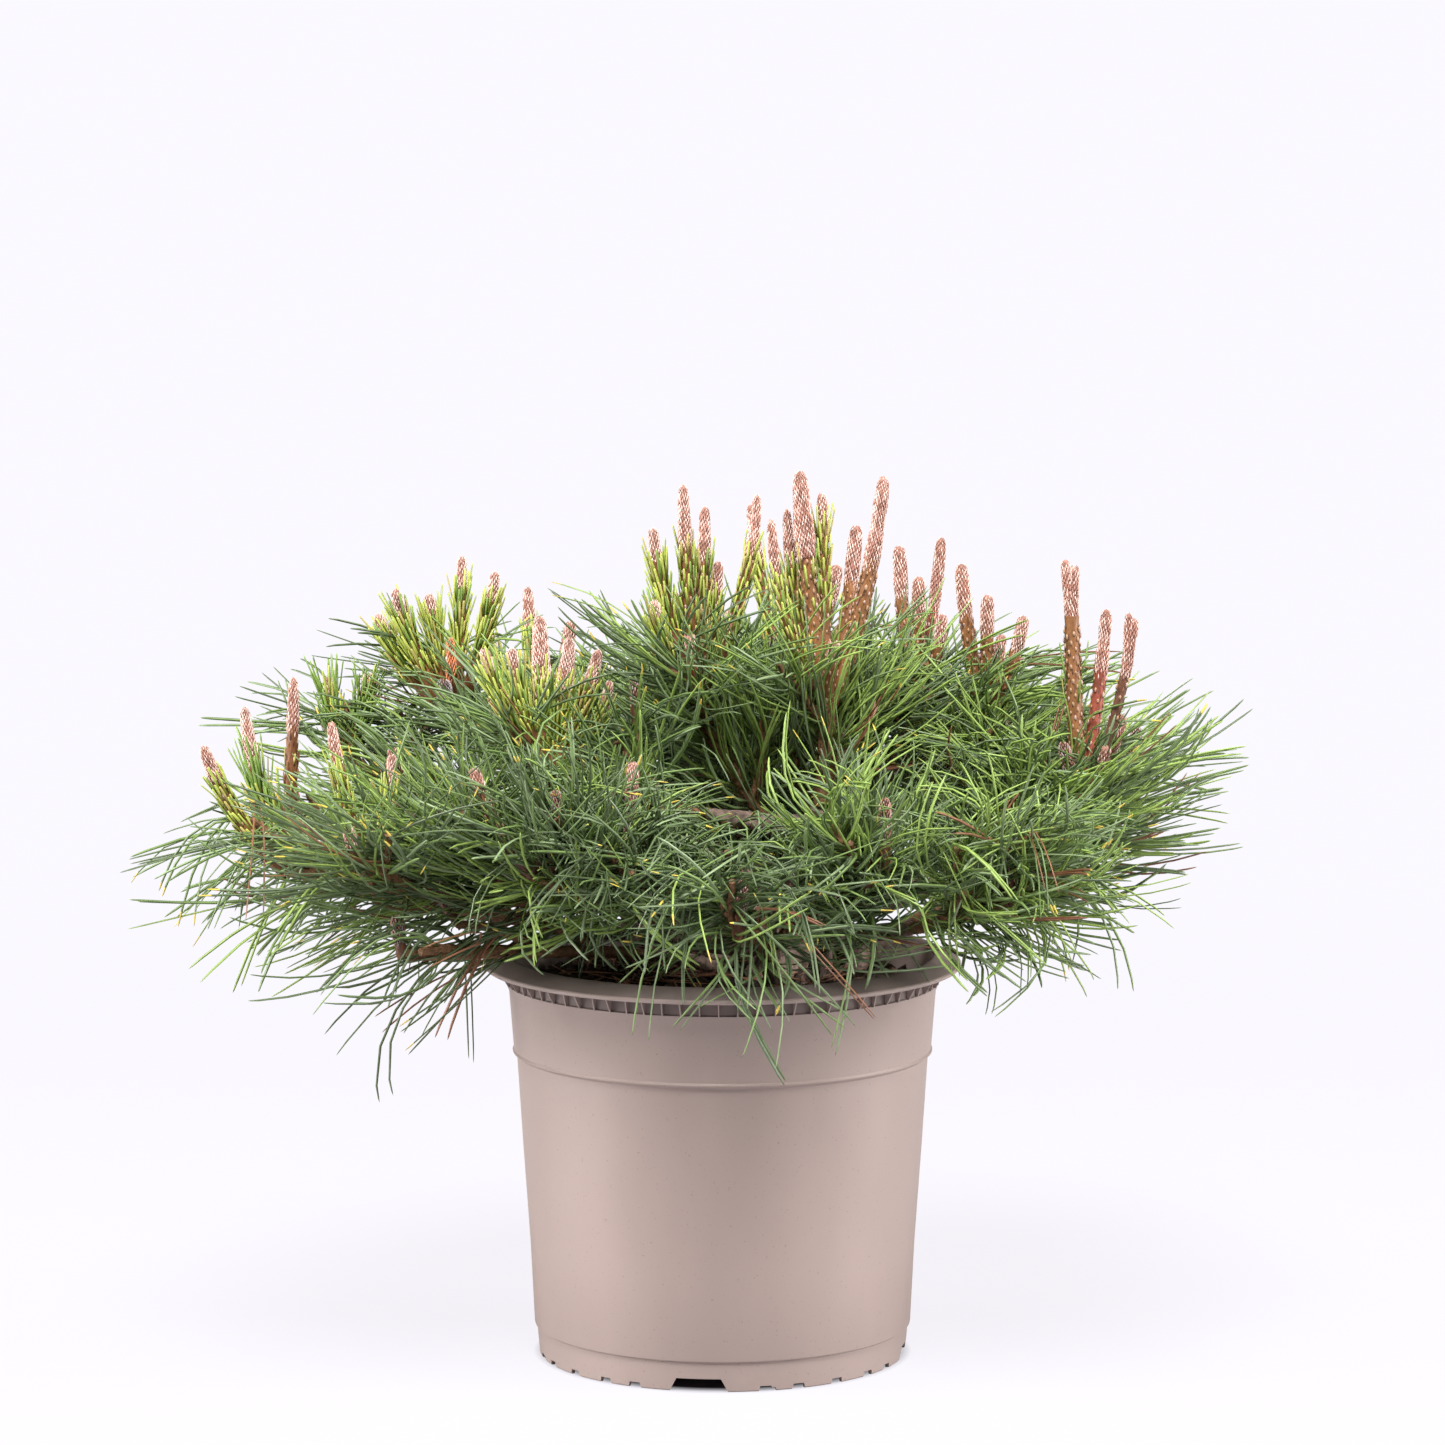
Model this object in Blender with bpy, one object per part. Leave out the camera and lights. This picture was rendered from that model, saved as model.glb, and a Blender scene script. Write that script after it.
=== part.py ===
"""Potted mugo pine: a low, spreading pine with long candles, in a round nursery pot.

Metres, +Z up. The origin is the middle of the pot's flat underside, and the front is towards -Y.
Each branch is one smooth curve from the trunk to a whorl of candles. Its first stretch is a bare
bough. The rest is the stem of a mass of foliage, with twigs, needles and candles fused to it.
"""

import math
import random
from collections import namedtuple

import bmesh
import bpy
import numpy as np
from mathutils import Matrix, Vector
from mathutils.bvhtree import BVHTree

GAP = 0.0003                 # clearance between neighbouring pieces

# Pot
POT_SIDES = 32
POT_HEIGHT = 0.196
LIP_RADIUS = 0.115
FOOT_RADIUS = 0.0888
WALL = 0.002
PAD_RADIUS = 0.059           # middle of the underside, which the pot stands on
CHANNEL_HEIGHT = 0.0063      # raised channel round the pad, open through the foot's notches
BIG_NOTCHES = 4
BIG_NOTCH_WIDTH = (0.0300, 0.0213)      # at the ground and at its top
BIG_NOTCH_TURN = -97.3       # degrees, a little left of the front
SMALL_NOTCH_TURNS = (20.6, 45.0, 69.4)
SMALL_NOTCH_SIZE = (0.0060, 0.0027)     # width and height
NOTCH_DEPTH = 0.004          # that a notch's cutter reaches each way past the foot's skin
DRAIN_HOLES = 8
DRAIN_SIDES = 8
DRAIN_RADIUS = 0.004
DRAIN_CIRCLE = 0.073

# Soil
SOIL_LEVEL = 0.184

# Trunk
TRUNK_SIDES = 10
TRUNK_FOOT = Vector((0.030, 0.004, SOIL_LEVEL + GAP))
TRUNK_TOP = Vector((0.049, -0.007, 0.268))
TRUNK_BOW = Vector((0.008, 0.004, 0.0))
TRUNK_RADII = (0.0185, 0.0150, 0.0128, 0.0112, 0.0098, 0.0084, 0.0070)
TRUNK_RINGS = (0.0, 0.10, 0.22, 0.40, 0.60, 0.80, 1.0)      # places of those radii along it
TOP_TILT = 0.16              # slope between the trunk's end and the stem that goes on from it

# Boughs
BOUGH_SIDES = 5
BOUGH_RINGS = 3
TIP_GIRTH = 0.62             # bough's radius at its tip, as a share of its foot
BEND_REACH = 0.62            # where a branch bends, as shares of its reach and its rise
BEND_RISE = 0.30
LOWEST_JOINT = 0.197         # a branch leaves the trunk on one of its tiers
TIER_STEP = 0.003
TIERS = 22
FROM_SOIL = "soil"           # tier of a stem of its own, which rises beside the trunk
FROM_TOP = "top"             # tier of the stem that goes on from the trunk's end
SUCKER_REACH = 0.034         # a soil stem's foot from the trunk's
SUCKER_RISE = 0.018
SEAT_STEP = 0.0001           # a bough is moved this far at a time until it meets the trunk

# Twigs and candles
STEM_SIDES = 4
STEM_RINGS = 3
WHORL_GIRTH = 0.0036         # a mass's stem at its whorl
TWIG_SIDES = 3
TWIG_GIRTH = 0.0024
TWIG_PLACES = (0.22, 0.80)   # first and last twig along a mass's stem
TWIG_LENGTH = 0.020          # of every twig, and the share of its stem's length that is added
TWIG_STEM_SHARE = 0.34
TWIG_SHORTER = 0.4           # how much of that share is gone at the stem's end
TWIG_VARIES = (0.85, 1.15)
TWIG_BEND = 0.55             # share of its length before a twig bends
TWIG_SPLAY = (0.45, 0.55)    # how far it heads along its stem and sideways before the bend
TWIG_RISE = (0.35, 0.6)      # upward pull after the bend, and how much of it droop takes off
CANDLE_SIDES = 5
CANDLE_GIRTHS = (0.0020, 0.0043, 0.0051)
CANDLE_RINGS = (0.0, 0.45, 0.9)
CANDLE_FOOT = 0.002          # depth in the whorl
CANDLE_SCATTER = 0.16        # how far candles lean to the front or back, as a slope
CANDLE_BEND = (0.72, 0.42)   # where a candle turns up, as shares of its lean and its height
CANDLE_VARIES = (0.92, 1.05)

# Sprays of needles
NEEDLES = 4                  # in a spray
NEEDLE_LENGTH = (0.058, 0.090)
NEEDLE_CUTS = (1.0, 0.8, 0.62, 0.46)    # shares of its length tried before a needle is skipped
STALK_SHARE = 0.16           # of a needle's length, before a spray's needles part
STALK_GIRTHS = (0.0009, 0.0027)
SPREAD = (0.20, 0.46)        # how far a spray's needles part, as a slope
SPRAY_OPEN = (26, 62)        # degrees between a twig and its sprays
SPRAY_FOOT = 0.14            # bare share of a mass's stem, and of a twig
SPRAY_RISE = (0.30, 0.55)    # upward pull of a spray, and how much of it droop takes off
SPRAY_TRIES = 12             # for each spray wanted
DROOP_VARIES = (0.6, 1.3)
SAG = 0.42                   # of a needle's tip under full droop, as a share of its length
GOLDEN_ANGLE = math.radians(137.5)
KEEP_CLEAR = 0.0022

# A branch's whorl is at reach and height, turn degrees round the pot's axis from +X. Tier is where
# it would leave the trunk, and it takes the nearest one where it is clear of those before it.
# Girth is its radius there, and bare the share of it that is a bough.
# Its candles lean from fan's first value to its last, in degrees from upright towards +X, and
# tall gives their lengths at the first, the middle and the last.
Branch = namedtuple(
    "Branch", "name turn reach height tier girth bare fan tall candles twigs sprays droop")

BRANCHES = (
    Branch("far_left", 182.7, 0.210, 0.238, 0, 0.0062, 0.38,
           (-32, 3), (0.073, 0.080, 0.089), 3, 4, 15, 0.30),
    Branch("left_front", 203.2, 0.178, 0.240, 6, 0.0053, 0.34,
           (-14, 8), (0.081, 0.080, 0.060), 2, 4, 13, 0.30),
    Branch("left_back", 163.0, 0.193, 0.280, 3, 0.0048, 0.46,
           (-12, 14), (0.045, 0.045, 0.045), 2, 3, 9, 0.15),
    Branch("upper_left", 161.0, 0.138, 0.305, 11, 0.0055, 0.40,
           (-38, 16), (0.066, 0.070, 0.078), 5, 2, 8, 0.05),
    Branch("centre_left", 205.8, 0.092, 0.287, 20, 0.0053, 0.34,
           (-27, 21), (0.064, 0.074, 0.068), 5, 2, 8, 0.05),
    Branch("front_left", 228.2, 0.134, 0.250, 2, 0.0053, 0.42,
           (-28, 20), (0.057, 0.030, 0.040), 2, 4, 12, 0.20),
    Branch("front_inner", 242.0, 0.100, 0.240, 9, 0.0046, 0.38,
           (-15, 5), (0.035, 0.045, 0.058), 2, 2, 8, 0.10),
    Branch("crown_left", 180.0, 0.012, 0.322, 13, 0.0044, 0.30,
           (-17, 9), (0.070, 0.098, 0.064), 5, 3, 9, -0.05),
    Branch("crown_top", 348.8, 0.0515, 0.317, FROM_TOP, 0.0060, 0.0,
           (-7, 14), (0.112, 0.085, 0.107), 5, 2, 8, -0.05),
    Branch("crown_back", 63.0, 0.073, 0.314, 13, 0.0046, 0.34,
           (-12, 20), (0.090, 0.081, 0.066), 3, 2, 8, 0.0),
    Branch("back_right", 36.5, 0.118, 0.309, 10, 0.0048, 0.40,
           (-7, 9), (0.062, 0.076, 0.081), 3, 2, 8, 0.05),
    Branch("upper_right", 19.4, 0.136, 0.302, 16, 0.0048, 0.40,
           (-9, 19), (0.075, 0.063, 0.053), 4, 2, 8, 0.08),
    Branch("right", 355.0, 0.172, 0.272, 5, 0.0060, 0.44,
           (-13, 27), (0.069, 0.108, 0.045), 5, 3, 11, 0.10),
    Branch("right_low", 7.0, 0.190, 0.250, FROM_SOIL, 0.0053, 0.46,
           (2, 14), (0.040, 0.045, 0.052), 2, 4, 13, 0.15),
    Branch("right_front", 327.7, 0.159, 0.234, 2, 0.0048, 0.42,
           (-8, 12), (0.030, 0.030, 0.030), 1, 4, 11, 0.20),
    Branch("front_right", 305.7, 0.129, 0.256, FROM_SOIL, 0.0051, 0.44,
           (-10, 10), (0.028, 0.028, 0.028), 1, 3, 12, 0.10),
    Branch("front_centre", 273.6, 0.118, 0.224, FROM_SOIL, 0.0046, 0.46,
           (5, 5), (0.030, 0.030, 0.030), 1, 3, 11, 0.25),
    Branch("left_low", 207.0, 0.168, 0.207, FROM_SOIL, 0.0044, 0.50,
           (-20, 0), (0.020, 0.020, 0.020), 1, 3, 11, 0.80),
    Branch("inner_back", 140.0, 0.076, 0.250, 7, 0.0044, 0.30,
           (0, 0), (0.032, 0.032, 0.032), 1, 3, 11, 0.05),
    Branch("back_left", 128.0, 0.150, 0.285, 18, 0.0048, 0.40,
           (-24, 16), (0.062, 0.078, 0.066), 3, 3, 10, 0.10),
    Branch("back_middle", 96.0, 0.142, 0.292, 4, 0.0053, 0.42,
           (-15, 18), (0.070, 0.086, 0.060), 3, 3, 9, 0.10),
    Branch("back_far_left", 143.0, 0.196, 0.236, FROM_SOIL, 0.0053, 0.48,
           (-22, 8), (0.060, 0.066, 0.060), 2, 4, 11, 0.30),
    Branch("back_low", 88.0, 0.186, 0.232, FROM_SOIL, 0.0051, 0.48,
           (-12, 12), (0.048, 0.050, 0.048), 2, 4, 10, 0.30),
    Branch("back_right_low", 43.0, 0.190, 0.240, 5, 0.0053, 0.46,
           (-8, 18), (0.060, 0.068, 0.056), 3, 4, 10, 0.25),
)


def clear_scene():
    for item in list(bpy.data.objects):
        bpy.data.objects.remove(item, do_unlink=True)


def material(name, colour, roughness):
    made = bpy.data.materials.new(name)
    made.use_nodes = True
    shader = made.node_tree.nodes["Principled BSDF"]
    shader.inputs["Base Color"].default_value = (*colour, 1.0)
    shader.inputs["Roughness"].default_value = roughness
    shader.inputs["Metallic"].default_value = 0.0
    return made


def add_object(name, mesh, finish, smooth_below=None):
    """Links a finished mesh as one named piece."""
    mesh.name = name
    mesh.materials.clear()
    mesh.materials.append(finish)
    if smooth_below:
        mesh.shade_smooth()
        mesh.set_sharp_from_angle(angle=math.radians(smooth_below))
    piece = bpy.data.objects.new(name, mesh)
    bpy.context.scene.collection.objects.link(piece)
    return piece


def face_outwards(bm):
    bmesh.ops.recalc_face_normals(bm, faces=bm.faces)
    if bm.calc_volume(signed=True) < 0:
        bmesh.ops.reverse_faces(bm, faces=bm.faces)


def mesh_from(bm, name):
    mesh = bpy.data.meshes.new(name)
    bm.to_mesh(mesh)
    bm.free()
    return mesh


def evaluated(piece):
    """The mesh that a piece's modifiers make, on its own."""
    depsgraph = bpy.context.evaluated_depsgraph_get()
    return bpy.data.meshes.new_from_object(piece.evaluated_get(depsgraph))


def remove(pieces):
    for piece in list(pieces):
        bpy.data.objects.remove(piece, do_unlink=True)


def turned(profile, name):
    """The closed body that a profile of (radius, height) points sweeps round the pot's axis."""
    bm = bmesh.new()
    line = [bm.verts.new((radius, 0.0, height)) for radius, height in profile]
    edges = [bm.edges.new(pair) for pair in zip(line, line[1:])]
    bmesh.ops.spin(bm, geom=line + edges, cent=(0, 0, 0), axis=(0, 0, 1), angle=2 * math.pi,
                   steps=POT_SIDES, use_merge=True)
    bmesh.ops.remove_doubles(bm, verts=bm.verts, dist=1e-6)
    face_outwards(bm)
    return mesh_from(bm, name)


def pot_profile():
    """Pad, channel, foot, wall, collar and lip outside, then the inside back down to the axis."""
    inner_foot = FOOT_RADIUS - WALL
    outside = [
        (0.0, 0.0), (PAD_RADIUS, 0.0), (PAD_RADIUS + 0.004, CHANNEL_HEIGHT),
        (inner_foot, CHANNEL_HEIGHT), (inner_foot, 0.0), (FOOT_RADIUS, 0.0),
        (0.0900, 0.0145), (0.0911, 0.0153), (0.0931, 0.0545), (0.0963, 0.1000), (0.0993, 0.1470),
        (0.1009, 0.1525), (0.1030, 0.1785), (0.1045, 0.1819), (0.1036, 0.1826), (0.1040, 0.1928),
        (LIP_RADIUS - 0.0014, 0.1896), (LIP_RADIUS, 0.1900), (LIP_RADIUS, 0.1915),
    ]
    inside = [
        (0.1046, POT_HEIGHT), (0.1022, POT_HEIGHT - 0.0004), (0.0972, 0.1470), (0.0943, 0.1000),
        (0.0892, CHANNEL_HEIGHT + WALL), (PAD_RADIUS + 0.003, CHANNEL_HEIGHT + WALL),
        (PAD_RADIUS - 0.001, WALL), (0.0, WALL),
    ]
    return outside + inside


def notch(turn, widths, height, name):
    """A cutter through the foot: a wedge as wide as widths at the ground and at its top."""
    low, high = widths[0] / 2, widths[1] / 2
    below = -WALL
    bm = bmesh.new()
    bmesh.ops.create_cube(bm, size=2.0)
    for vert in bm.verts:
        at_top = vert.co.z > 0
        half = high if at_top else low
        vert.co = Vector((FOOT_RADIUS + 2 * NOTCH_DEPTH * vert.co.x, math.copysign(half, vert.co.y),
                          height if at_top else below))
    bm.transform(Matrix.Rotation(math.radians(turn), 4, "Z"))
    face_outwards(bm)
    return add_object(name, mesh_from(bm, name), bpy.data.materials["pot_plastic"])


def drain(turn, name):
    """A cutter for one round drain hole in the channel."""
    bm = bmesh.new()
    place = Matrix.Rotation(math.radians(turn), 4, "Z") @ Matrix.Translation(
        (DRAIN_CIRCLE, 0, CHANNEL_HEIGHT + WALL / 2))
    bmesh.ops.create_cone(bm, cap_ends=True, segments=DRAIN_SIDES, radius1=DRAIN_RADIUS,
                          radius2=DRAIN_RADIUS, depth=3 * WALL, matrix=place)
    return add_object(name, mesh_from(bm, name), bpy.data.materials["pot_plastic"])


def pot_cutters():
    made = []
    width, height = SMALL_NOTCH_SIZE
    for quarter in range(BIG_NOTCHES):
        start = BIG_NOTCH_TURN + quarter * 360 / BIG_NOTCHES
        made.append(notch(start, BIG_NOTCH_WIDTH, CHANNEL_HEIGHT, f"big_notch_{quarter}"))
        for number, offset in enumerate(SMALL_NOTCH_TURNS):
            made.append(notch(start + offset, (width, width), height, f"notch_{quarter}_{number}"))
    for number in range(DRAIN_HOLES):
        made.append(drain(BIG_NOTCH_TURN + (number + 0.5) * 360 / DRAIN_HOLES, f"drain_{number}"))
    return made


def make_pot():
    """The pot: one turned wall, with notches through its foot and drain holes in its channel."""
    finish = material("pot_plastic", (0.42, 0.33, 0.29), 0.55)
    body = add_object("pot_body", turned(pot_profile(), "pot_body"), finish)
    cutters = bpy.data.collections.new("pot_cutters")
    bpy.context.scene.collection.children.link(cutters)
    made = pot_cutters()
    for cutter in made:
        bpy.context.scene.collection.objects.unlink(cutter)
        cutters.objects.link(cutter)
    cut = body.modifiers.new("notches", "BOOLEAN")
    cut.operation = "DIFFERENCE"
    cut.operand_type = "COLLECTION"
    cut.collection = cutters
    mesh = evaluated(body)
    remove(made + [body])
    bpy.data.collections.remove(cutters)
    add_object("pot", mesh, finish, smooth_below=35)


def make_soil():
    """Soil that fills the pot to below its rim, a little lower at the wall."""
    floor = CHANNEL_HEIGHT + WALL + GAP
    profile = [
        (0.0, floor), (0.0888 - GAP, floor), (0.0939 - GAP, 0.1000), (0.0968 - GAP, 0.1470),
        (0.0996 - GAP, 0.1780), (0.0960, 0.1805), (0.0700, SOIL_LEVEL), (0.0, SOIL_LEVEL),
    ]
    finish = material("soil", (0.035, 0.024, 0.018), 0.95)
    add_object("soil", turned(profile, "soil"), finish, smooth_below=35)


def limb(points, radii, sides, on_soil=False, first=None, last=None):
    """A closed limb along points. Its ring at each point has that radius, and 0 draws it to a tip.
    Its end rings are square to first and last, or to its own line. On the soil the first is level."""
    bm = bmesh.new()
    points = [Vector(point) for point in points]
    heading = first or (points[1] - points[0]).normalized()
    bmesh.ops.create_circle(bm, cap_ends=True, segments=sides, radius=radii[0])
    bm.transform(Matrix.Translation(points[0]) @ heading.to_track_quat("Z", "Y").to_matrix().to_4x4())
    foot = list(bm.verts)
    cap = list(bm.faces)[0]
    for k in range(1, len(points)):
        if radii[k] == 0:
            tip = bmesh.ops.poke(bm, faces=[cap])["verts"][0]
            tip.co = points[k]
            break
        at_end = k == len(points) - 1
        ahead = (points[k if at_end else k + 1] - points[k - 1]).normalized()
        if at_end and last:
            ahead = last
        turn = heading.rotation_difference(ahead)
        grown = bmesh.ops.extrude_face_region(bm, geom=[cap])["geom"]
        if k > 1:
            bmesh.ops.delete(bm, geom=[cap], context="FACES_ONLY")
        cap = next(item for item in grown if isinstance(item, bmesh.types.BMFace))
        for vert in cap.verts:
            vert.co = points[k] + (turn @ (vert.co - points[k - 1])) * (radii[k] / radii[k - 1])
        heading = ahead
    if on_soil:
        for vert in foot:
            vert.co.z = points[0].z
    face_outwards(bm)
    return bm


def curve_point(ends, t):
    """A point at t of the curve through start and end that bends towards its middle point."""
    start, middle, end = ends
    return start * (1 - t) ** 2 + middle * 2 * t * (1 - t) + end * t ** 2


def curve_speed(ends, t):
    """The curve's heading at t, as long as the curve is fast there."""
    start, middle, end = ends
    return (middle - start) * 2 * (1 - t) + (end - middle) * 2 * t


def stretch(ends, first, last, count):
    return [curve_point(ends, first + (last - first) * k / count) for k in range(count + 1)]


def curve_length(ends):
    line = stretch(ends, 0, 1, 12)
    return sum((b - a).length for a, b in zip(line, line[1:]))


def segments(ends, first, last, count, girth):
    """A stretch of a curve as straight lengths of wood: each its two ends and its radius."""
    line = stretch(ends, first, last, count)
    return [(a, b, girth) for a, b in zip(line, line[1:])]


def trunk_point(share):
    return TRUNK_FOOT.lerp(TRUNK_TOP, share) + TRUNK_BOW * (4 * share * (1 - share))


def make_trunk():
    """The trunk, flat on the soil, flared at its root and leaning to its right up to its fork."""
    line = [trunk_point(share) for share in TRUNK_RINGS]
    body = limb(line, TRUNK_RADII, TRUNK_SIDES, on_soil=True)
    surface = BVHTree.FromBMesh(body)
    finish = material("bark", (0.16, 0.095, 0.06), 0.9)
    add_object("trunk", mesh_from(body, "trunk"), finish, smooth_below=50)
    return surface, list(zip(line, line[1:], TRUNK_RADII))


def whorl_place(branch):
    turn = math.radians(branch.turn)
    return Vector((branch.reach * math.cos(turn), branch.reach * math.sin(turn), branch.height))


def seat(root, heading, girth, trunk):
    """Where a bough starts: as near its root in the trunk as its round end stays clear of it."""
    rim = [Vector((0, 0, 0))]
    for number in range(12):
        side = heading.orthogonal().normalized()
        side.rotate(Matrix.Rotation(math.radians(30 * number), 3, heading))
        rim += [side * girth, side * girth / 2]
    start = root + heading * 2 * TRUNK_RADII[0]
    while min(trunk.find_nearest(start + offset)[3] for offset in rim) > GAP + SEAT_STEP:
        start = start - heading * SEAT_STEP
    return start


def branch_curve(branch, tier, trunk):
    """Start, middle and end of a branch: it leaves the trunk low and turns up towards its whorl."""
    whorl = whorl_place(branch)
    if tier == FROM_SOIL:
        away = Vector((whorl.x - TRUNK_FOOT.x, whorl.y - TRUNK_FOOT.y, 0)).normalized()
        start = TRUNK_FOOT + away * SUCKER_REACH
        return start, start + Vector((0, 0, SUCKER_RISE)), whorl
    if tier == FROM_TOP:
        aim = (whorl - TRUNK_TOP).normalized()
        start = TRUNK_TOP + aim * (GAP + TRUNK_RADII[-1] * TOP_TILT)
        return start, start.lerp(whorl, 0.5), whorl
    joint = LOWEST_JOINT + tier * TIER_STEP
    root = trunk_point((joint - TRUNK_FOOT.z) / (TRUNK_TOP.z - TRUNK_FOOT.z))
    across = Vector((whorl.x - root.x, whorl.y - root.y, 0))
    middle = root + across * BEND_REACH + Vector((0, 0, (whorl.z - root.z) * BEND_RISE))
    return seat(root, (middle - root).normalized(), branch.girth, trunk), middle, whorl


def girth_at(branch, share):
    """A branch's radius: it tapers to its bough's tip, and from there to its whorl."""
    if branch.bare == 0:
        return branch.girth + (WHORL_GIRTH - branch.girth) * share
    girths = (branch.girth, branch.girth * TIP_GIRTH, WHORL_GIRTH)
    return float(np.interp(share, (0, branch.bare, 1), girths))


def lay_out(trunk):
    """Every branch's curve, each on the tier nearest its own where it clears those before it."""
    curves = {}
    placed = []
    shares = np.linspace(0, 1, 25)
    on_trunk = [branch for branch in BRANCHES if branch.tier not in (FROM_SOIL, FROM_TOP)]
    first = [branch for branch in BRANCHES if branch not in on_trunk]
    for branch in first + on_trunk:
        tiers = [branch.tier]
        if branch in on_trunk:
            tiers = sorted(range(TIERS), key=lambda tier: abs(tier - branch.tier))
        girths = np.array([girth_at(branch, share) for share in shares])
        for tier in tiers:
            ends = branch_curve(branch, tier, trunk)
            points = np.array([tuple(curve_point(ends, share)) for share in shares])
            if not placed or (gaps_to(points, placed) > girths + 2 * GAP).all():
                break
        else:
            raise ValueError(f"{branch.name} has no clear place on the trunk")
        curves[branch.name] = ends
        places = [Vector(point) for point in points]
        placed += list(zip(places, places[1:], girths))
    return curves


def make_bough(branch, ends):
    line = stretch(ends, 0, branch.bare, BOUGH_RINGS)
    radii = [girth_at(branch, branch.bare * k / BOUGH_RINGS) for k in range(BOUGH_RINGS + 1)]
    square = curve_speed(ends, branch.bare).normalized()
    body = limb(line, radii, BOUGH_SIDES, on_soil=branch.tier == FROM_SOIL, last=square)
    mesh = mesh_from(body, branch.name)
    add_object(f"bough_{branch.name}", mesh, bpy.data.materials["bark"], smooth_below=50)
    return [(a, b, branch.girth) for a, b in zip(line, line[1:])]


def candle_lines(branch, rng, phase):
    """The lines of a whorl's candles, each bending from its lean towards upright."""
    whorl = whorl_place(branch)
    lines = []
    for number in range(branch.candles):
        share = number / (branch.candles - 1) if branch.candles > 1 else 0.5
        lean = math.radians(branch.fan[0] + (branch.fan[1] - branch.fan[0]) * share)
        length = float(np.interp(share, (0, 0.5, 1), branch.tall)) * rng.uniform(*CANDLE_VARIES)
        depth = CANDLE_SCATTER * length * math.sin(number * GOLDEN_ANGLE + phase)
        tip = whorl + Vector((math.sin(lean) * length, depth, math.cos(lean) * length))
        side = Vector((tip.x - whorl.x, tip.y - whorl.y, 0))
        middle = whorl + side * CANDLE_BEND[0] + Vector((0, 0, CANDLE_BEND[1] * (tip.z - whorl.z)))
        lines.append((whorl - Vector((0, 0, CANDLE_FOOT)), middle, tip))
    return lines


def twig_line(branch, ends, number, rng, phase):
    """The curve of one of the twigs that leave a mass's stem by a golden turn and bend upwards."""
    first, last = TWIG_PLACES
    place = first + (last - first) * number / max(1, branch.twigs - 1)
    share = branch.bare + (1 - branch.bare) * place
    root = curve_point(ends, share)
    heading = curve_speed(ends, share).normalized()
    side = heading.orthogonal().normalized()
    side.rotate(Matrix.Rotation(number * GOLDEN_ANGLE + phase, 3, heading))
    side.z = abs(side.z) * 0.6
    length = TWIG_STEM_SHARE * curve_length(ends) * (1 - branch.bare) * (1 - TWIG_SHORTER * place)
    length = (TWIG_LENGTH + length) * rng.uniform(*TWIG_VARIES)
    ahead, aside = TWIG_SPLAY
    middle = root + (heading * ahead + side * aside).normalized() * length * TWIG_BEND
    pull = TWIG_RISE[0] - branch.droop * TWIG_RISE[1]
    after = (heading * 0.5 + side * 0.2 + Vector((0, 0, pull))).normalized()
    return root, middle, middle + after * length * 0.5


class Frame:
    """A mass's own wood: its stem, its candles and its twigs."""

    def __init__(self, branch, curve, seed):
        self.branch = branch
        self.seed = seed
        self.rng = random.Random(seed)
        self.curve = curve
        speed = curve_speed(self.curve, branch.bare).length
        self.start = branch.bare + (GAP / speed if branch.bare else 0)
        self.candles = candle_lines(branch, self.rng, seed)
        self.twigs = []
        self.parts = segments(self.curve, self.start, 1, 4, WHORL_GIRTH)
        for candle in self.candles:
            self.parts += segments(candle, 0, 1, 3, CANDLE_GIRTHS[1])

    def grow_twigs(self, others):
        """Adds the twigs that keep clear of all other wood, the pot and the soil."""
        for number in range(self.branch.twigs):
            twig = twig_line(self.branch, self.curve, number, self.rng, self.seed)
            points = np.array([tuple(curve_point(twig, t)) for t in (0, 0.25, 0.5, 0.75, 1)])
            if inside_pot(points) or gaps_to(points, others).min() < TWIG_GIRTH + KEEP_CLEAR:
                continue
            self.twigs.append(twig)
            self.parts += segments(twig, 0, 1, 3, TWIG_GIRTH)


def gaps_to(points, parts):
    """How far each point is from the skin of the nearest of some straight lengths of wood."""
    starts = np.array([tuple(part[0]) for part in parts])
    ends = np.array([tuple(part[1]) for part in parts])
    girths = np.array([part[2] for part in parts])
    along = ends - starts
    offset = points[:, None, :] - starts[None]
    share = np.clip((offset * along).sum(2) / (along ** 2).sum(1), 0, 1)
    return (np.linalg.norm(offset - share[..., None] * along, axis=2) - girths).min(1)


def inside_pot(points):
    """Whether any point would touch the pot or the soil."""
    margin = 0.004
    soil_radius = 0.094
    radius = np.hypot(points[:, 0], points[:, 1])
    height = points[:, 2]
    at_wall = (radius > soil_radius) & (radius < LIP_RADIUS + margin) & (height < POT_HEIGHT + margin)
    in_soil = (radius <= soil_radius) & (height < SOIL_LEVEL + margin)
    return bool((at_wall | in_soil).any())


def needle_tip(fork, way, length, droop, frame, others, limbs, taken):
    """The tip of a needle, cut back until it stays in its mass's space and clear of every limb."""
    for cut in NEEDLE_CUTS:
        reach = length * cut * (1 - STALK_SHARE)
        tip = fork + way * reach - Vector((0, 0, droop * reach * SAG))
        points = np.array([tuple(fork.lerp(tip, t)) for t in (0.05, 0.3, 0.55, 0.8, 1.0)])
        if inside_pot(points) or gaps_to(points, limbs).min() < KEEP_CLEAR:
            continue
        own = gaps_to(points, frame.parts)
        if own.min() < KEEP_CLEAR or (own + KEEP_CLEAR > gaps_to(points, others)).any():
            continue
        if taken and gaps_to(points, taken).min() < KEEP_CLEAR:
            continue
        return tip
    return None


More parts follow.
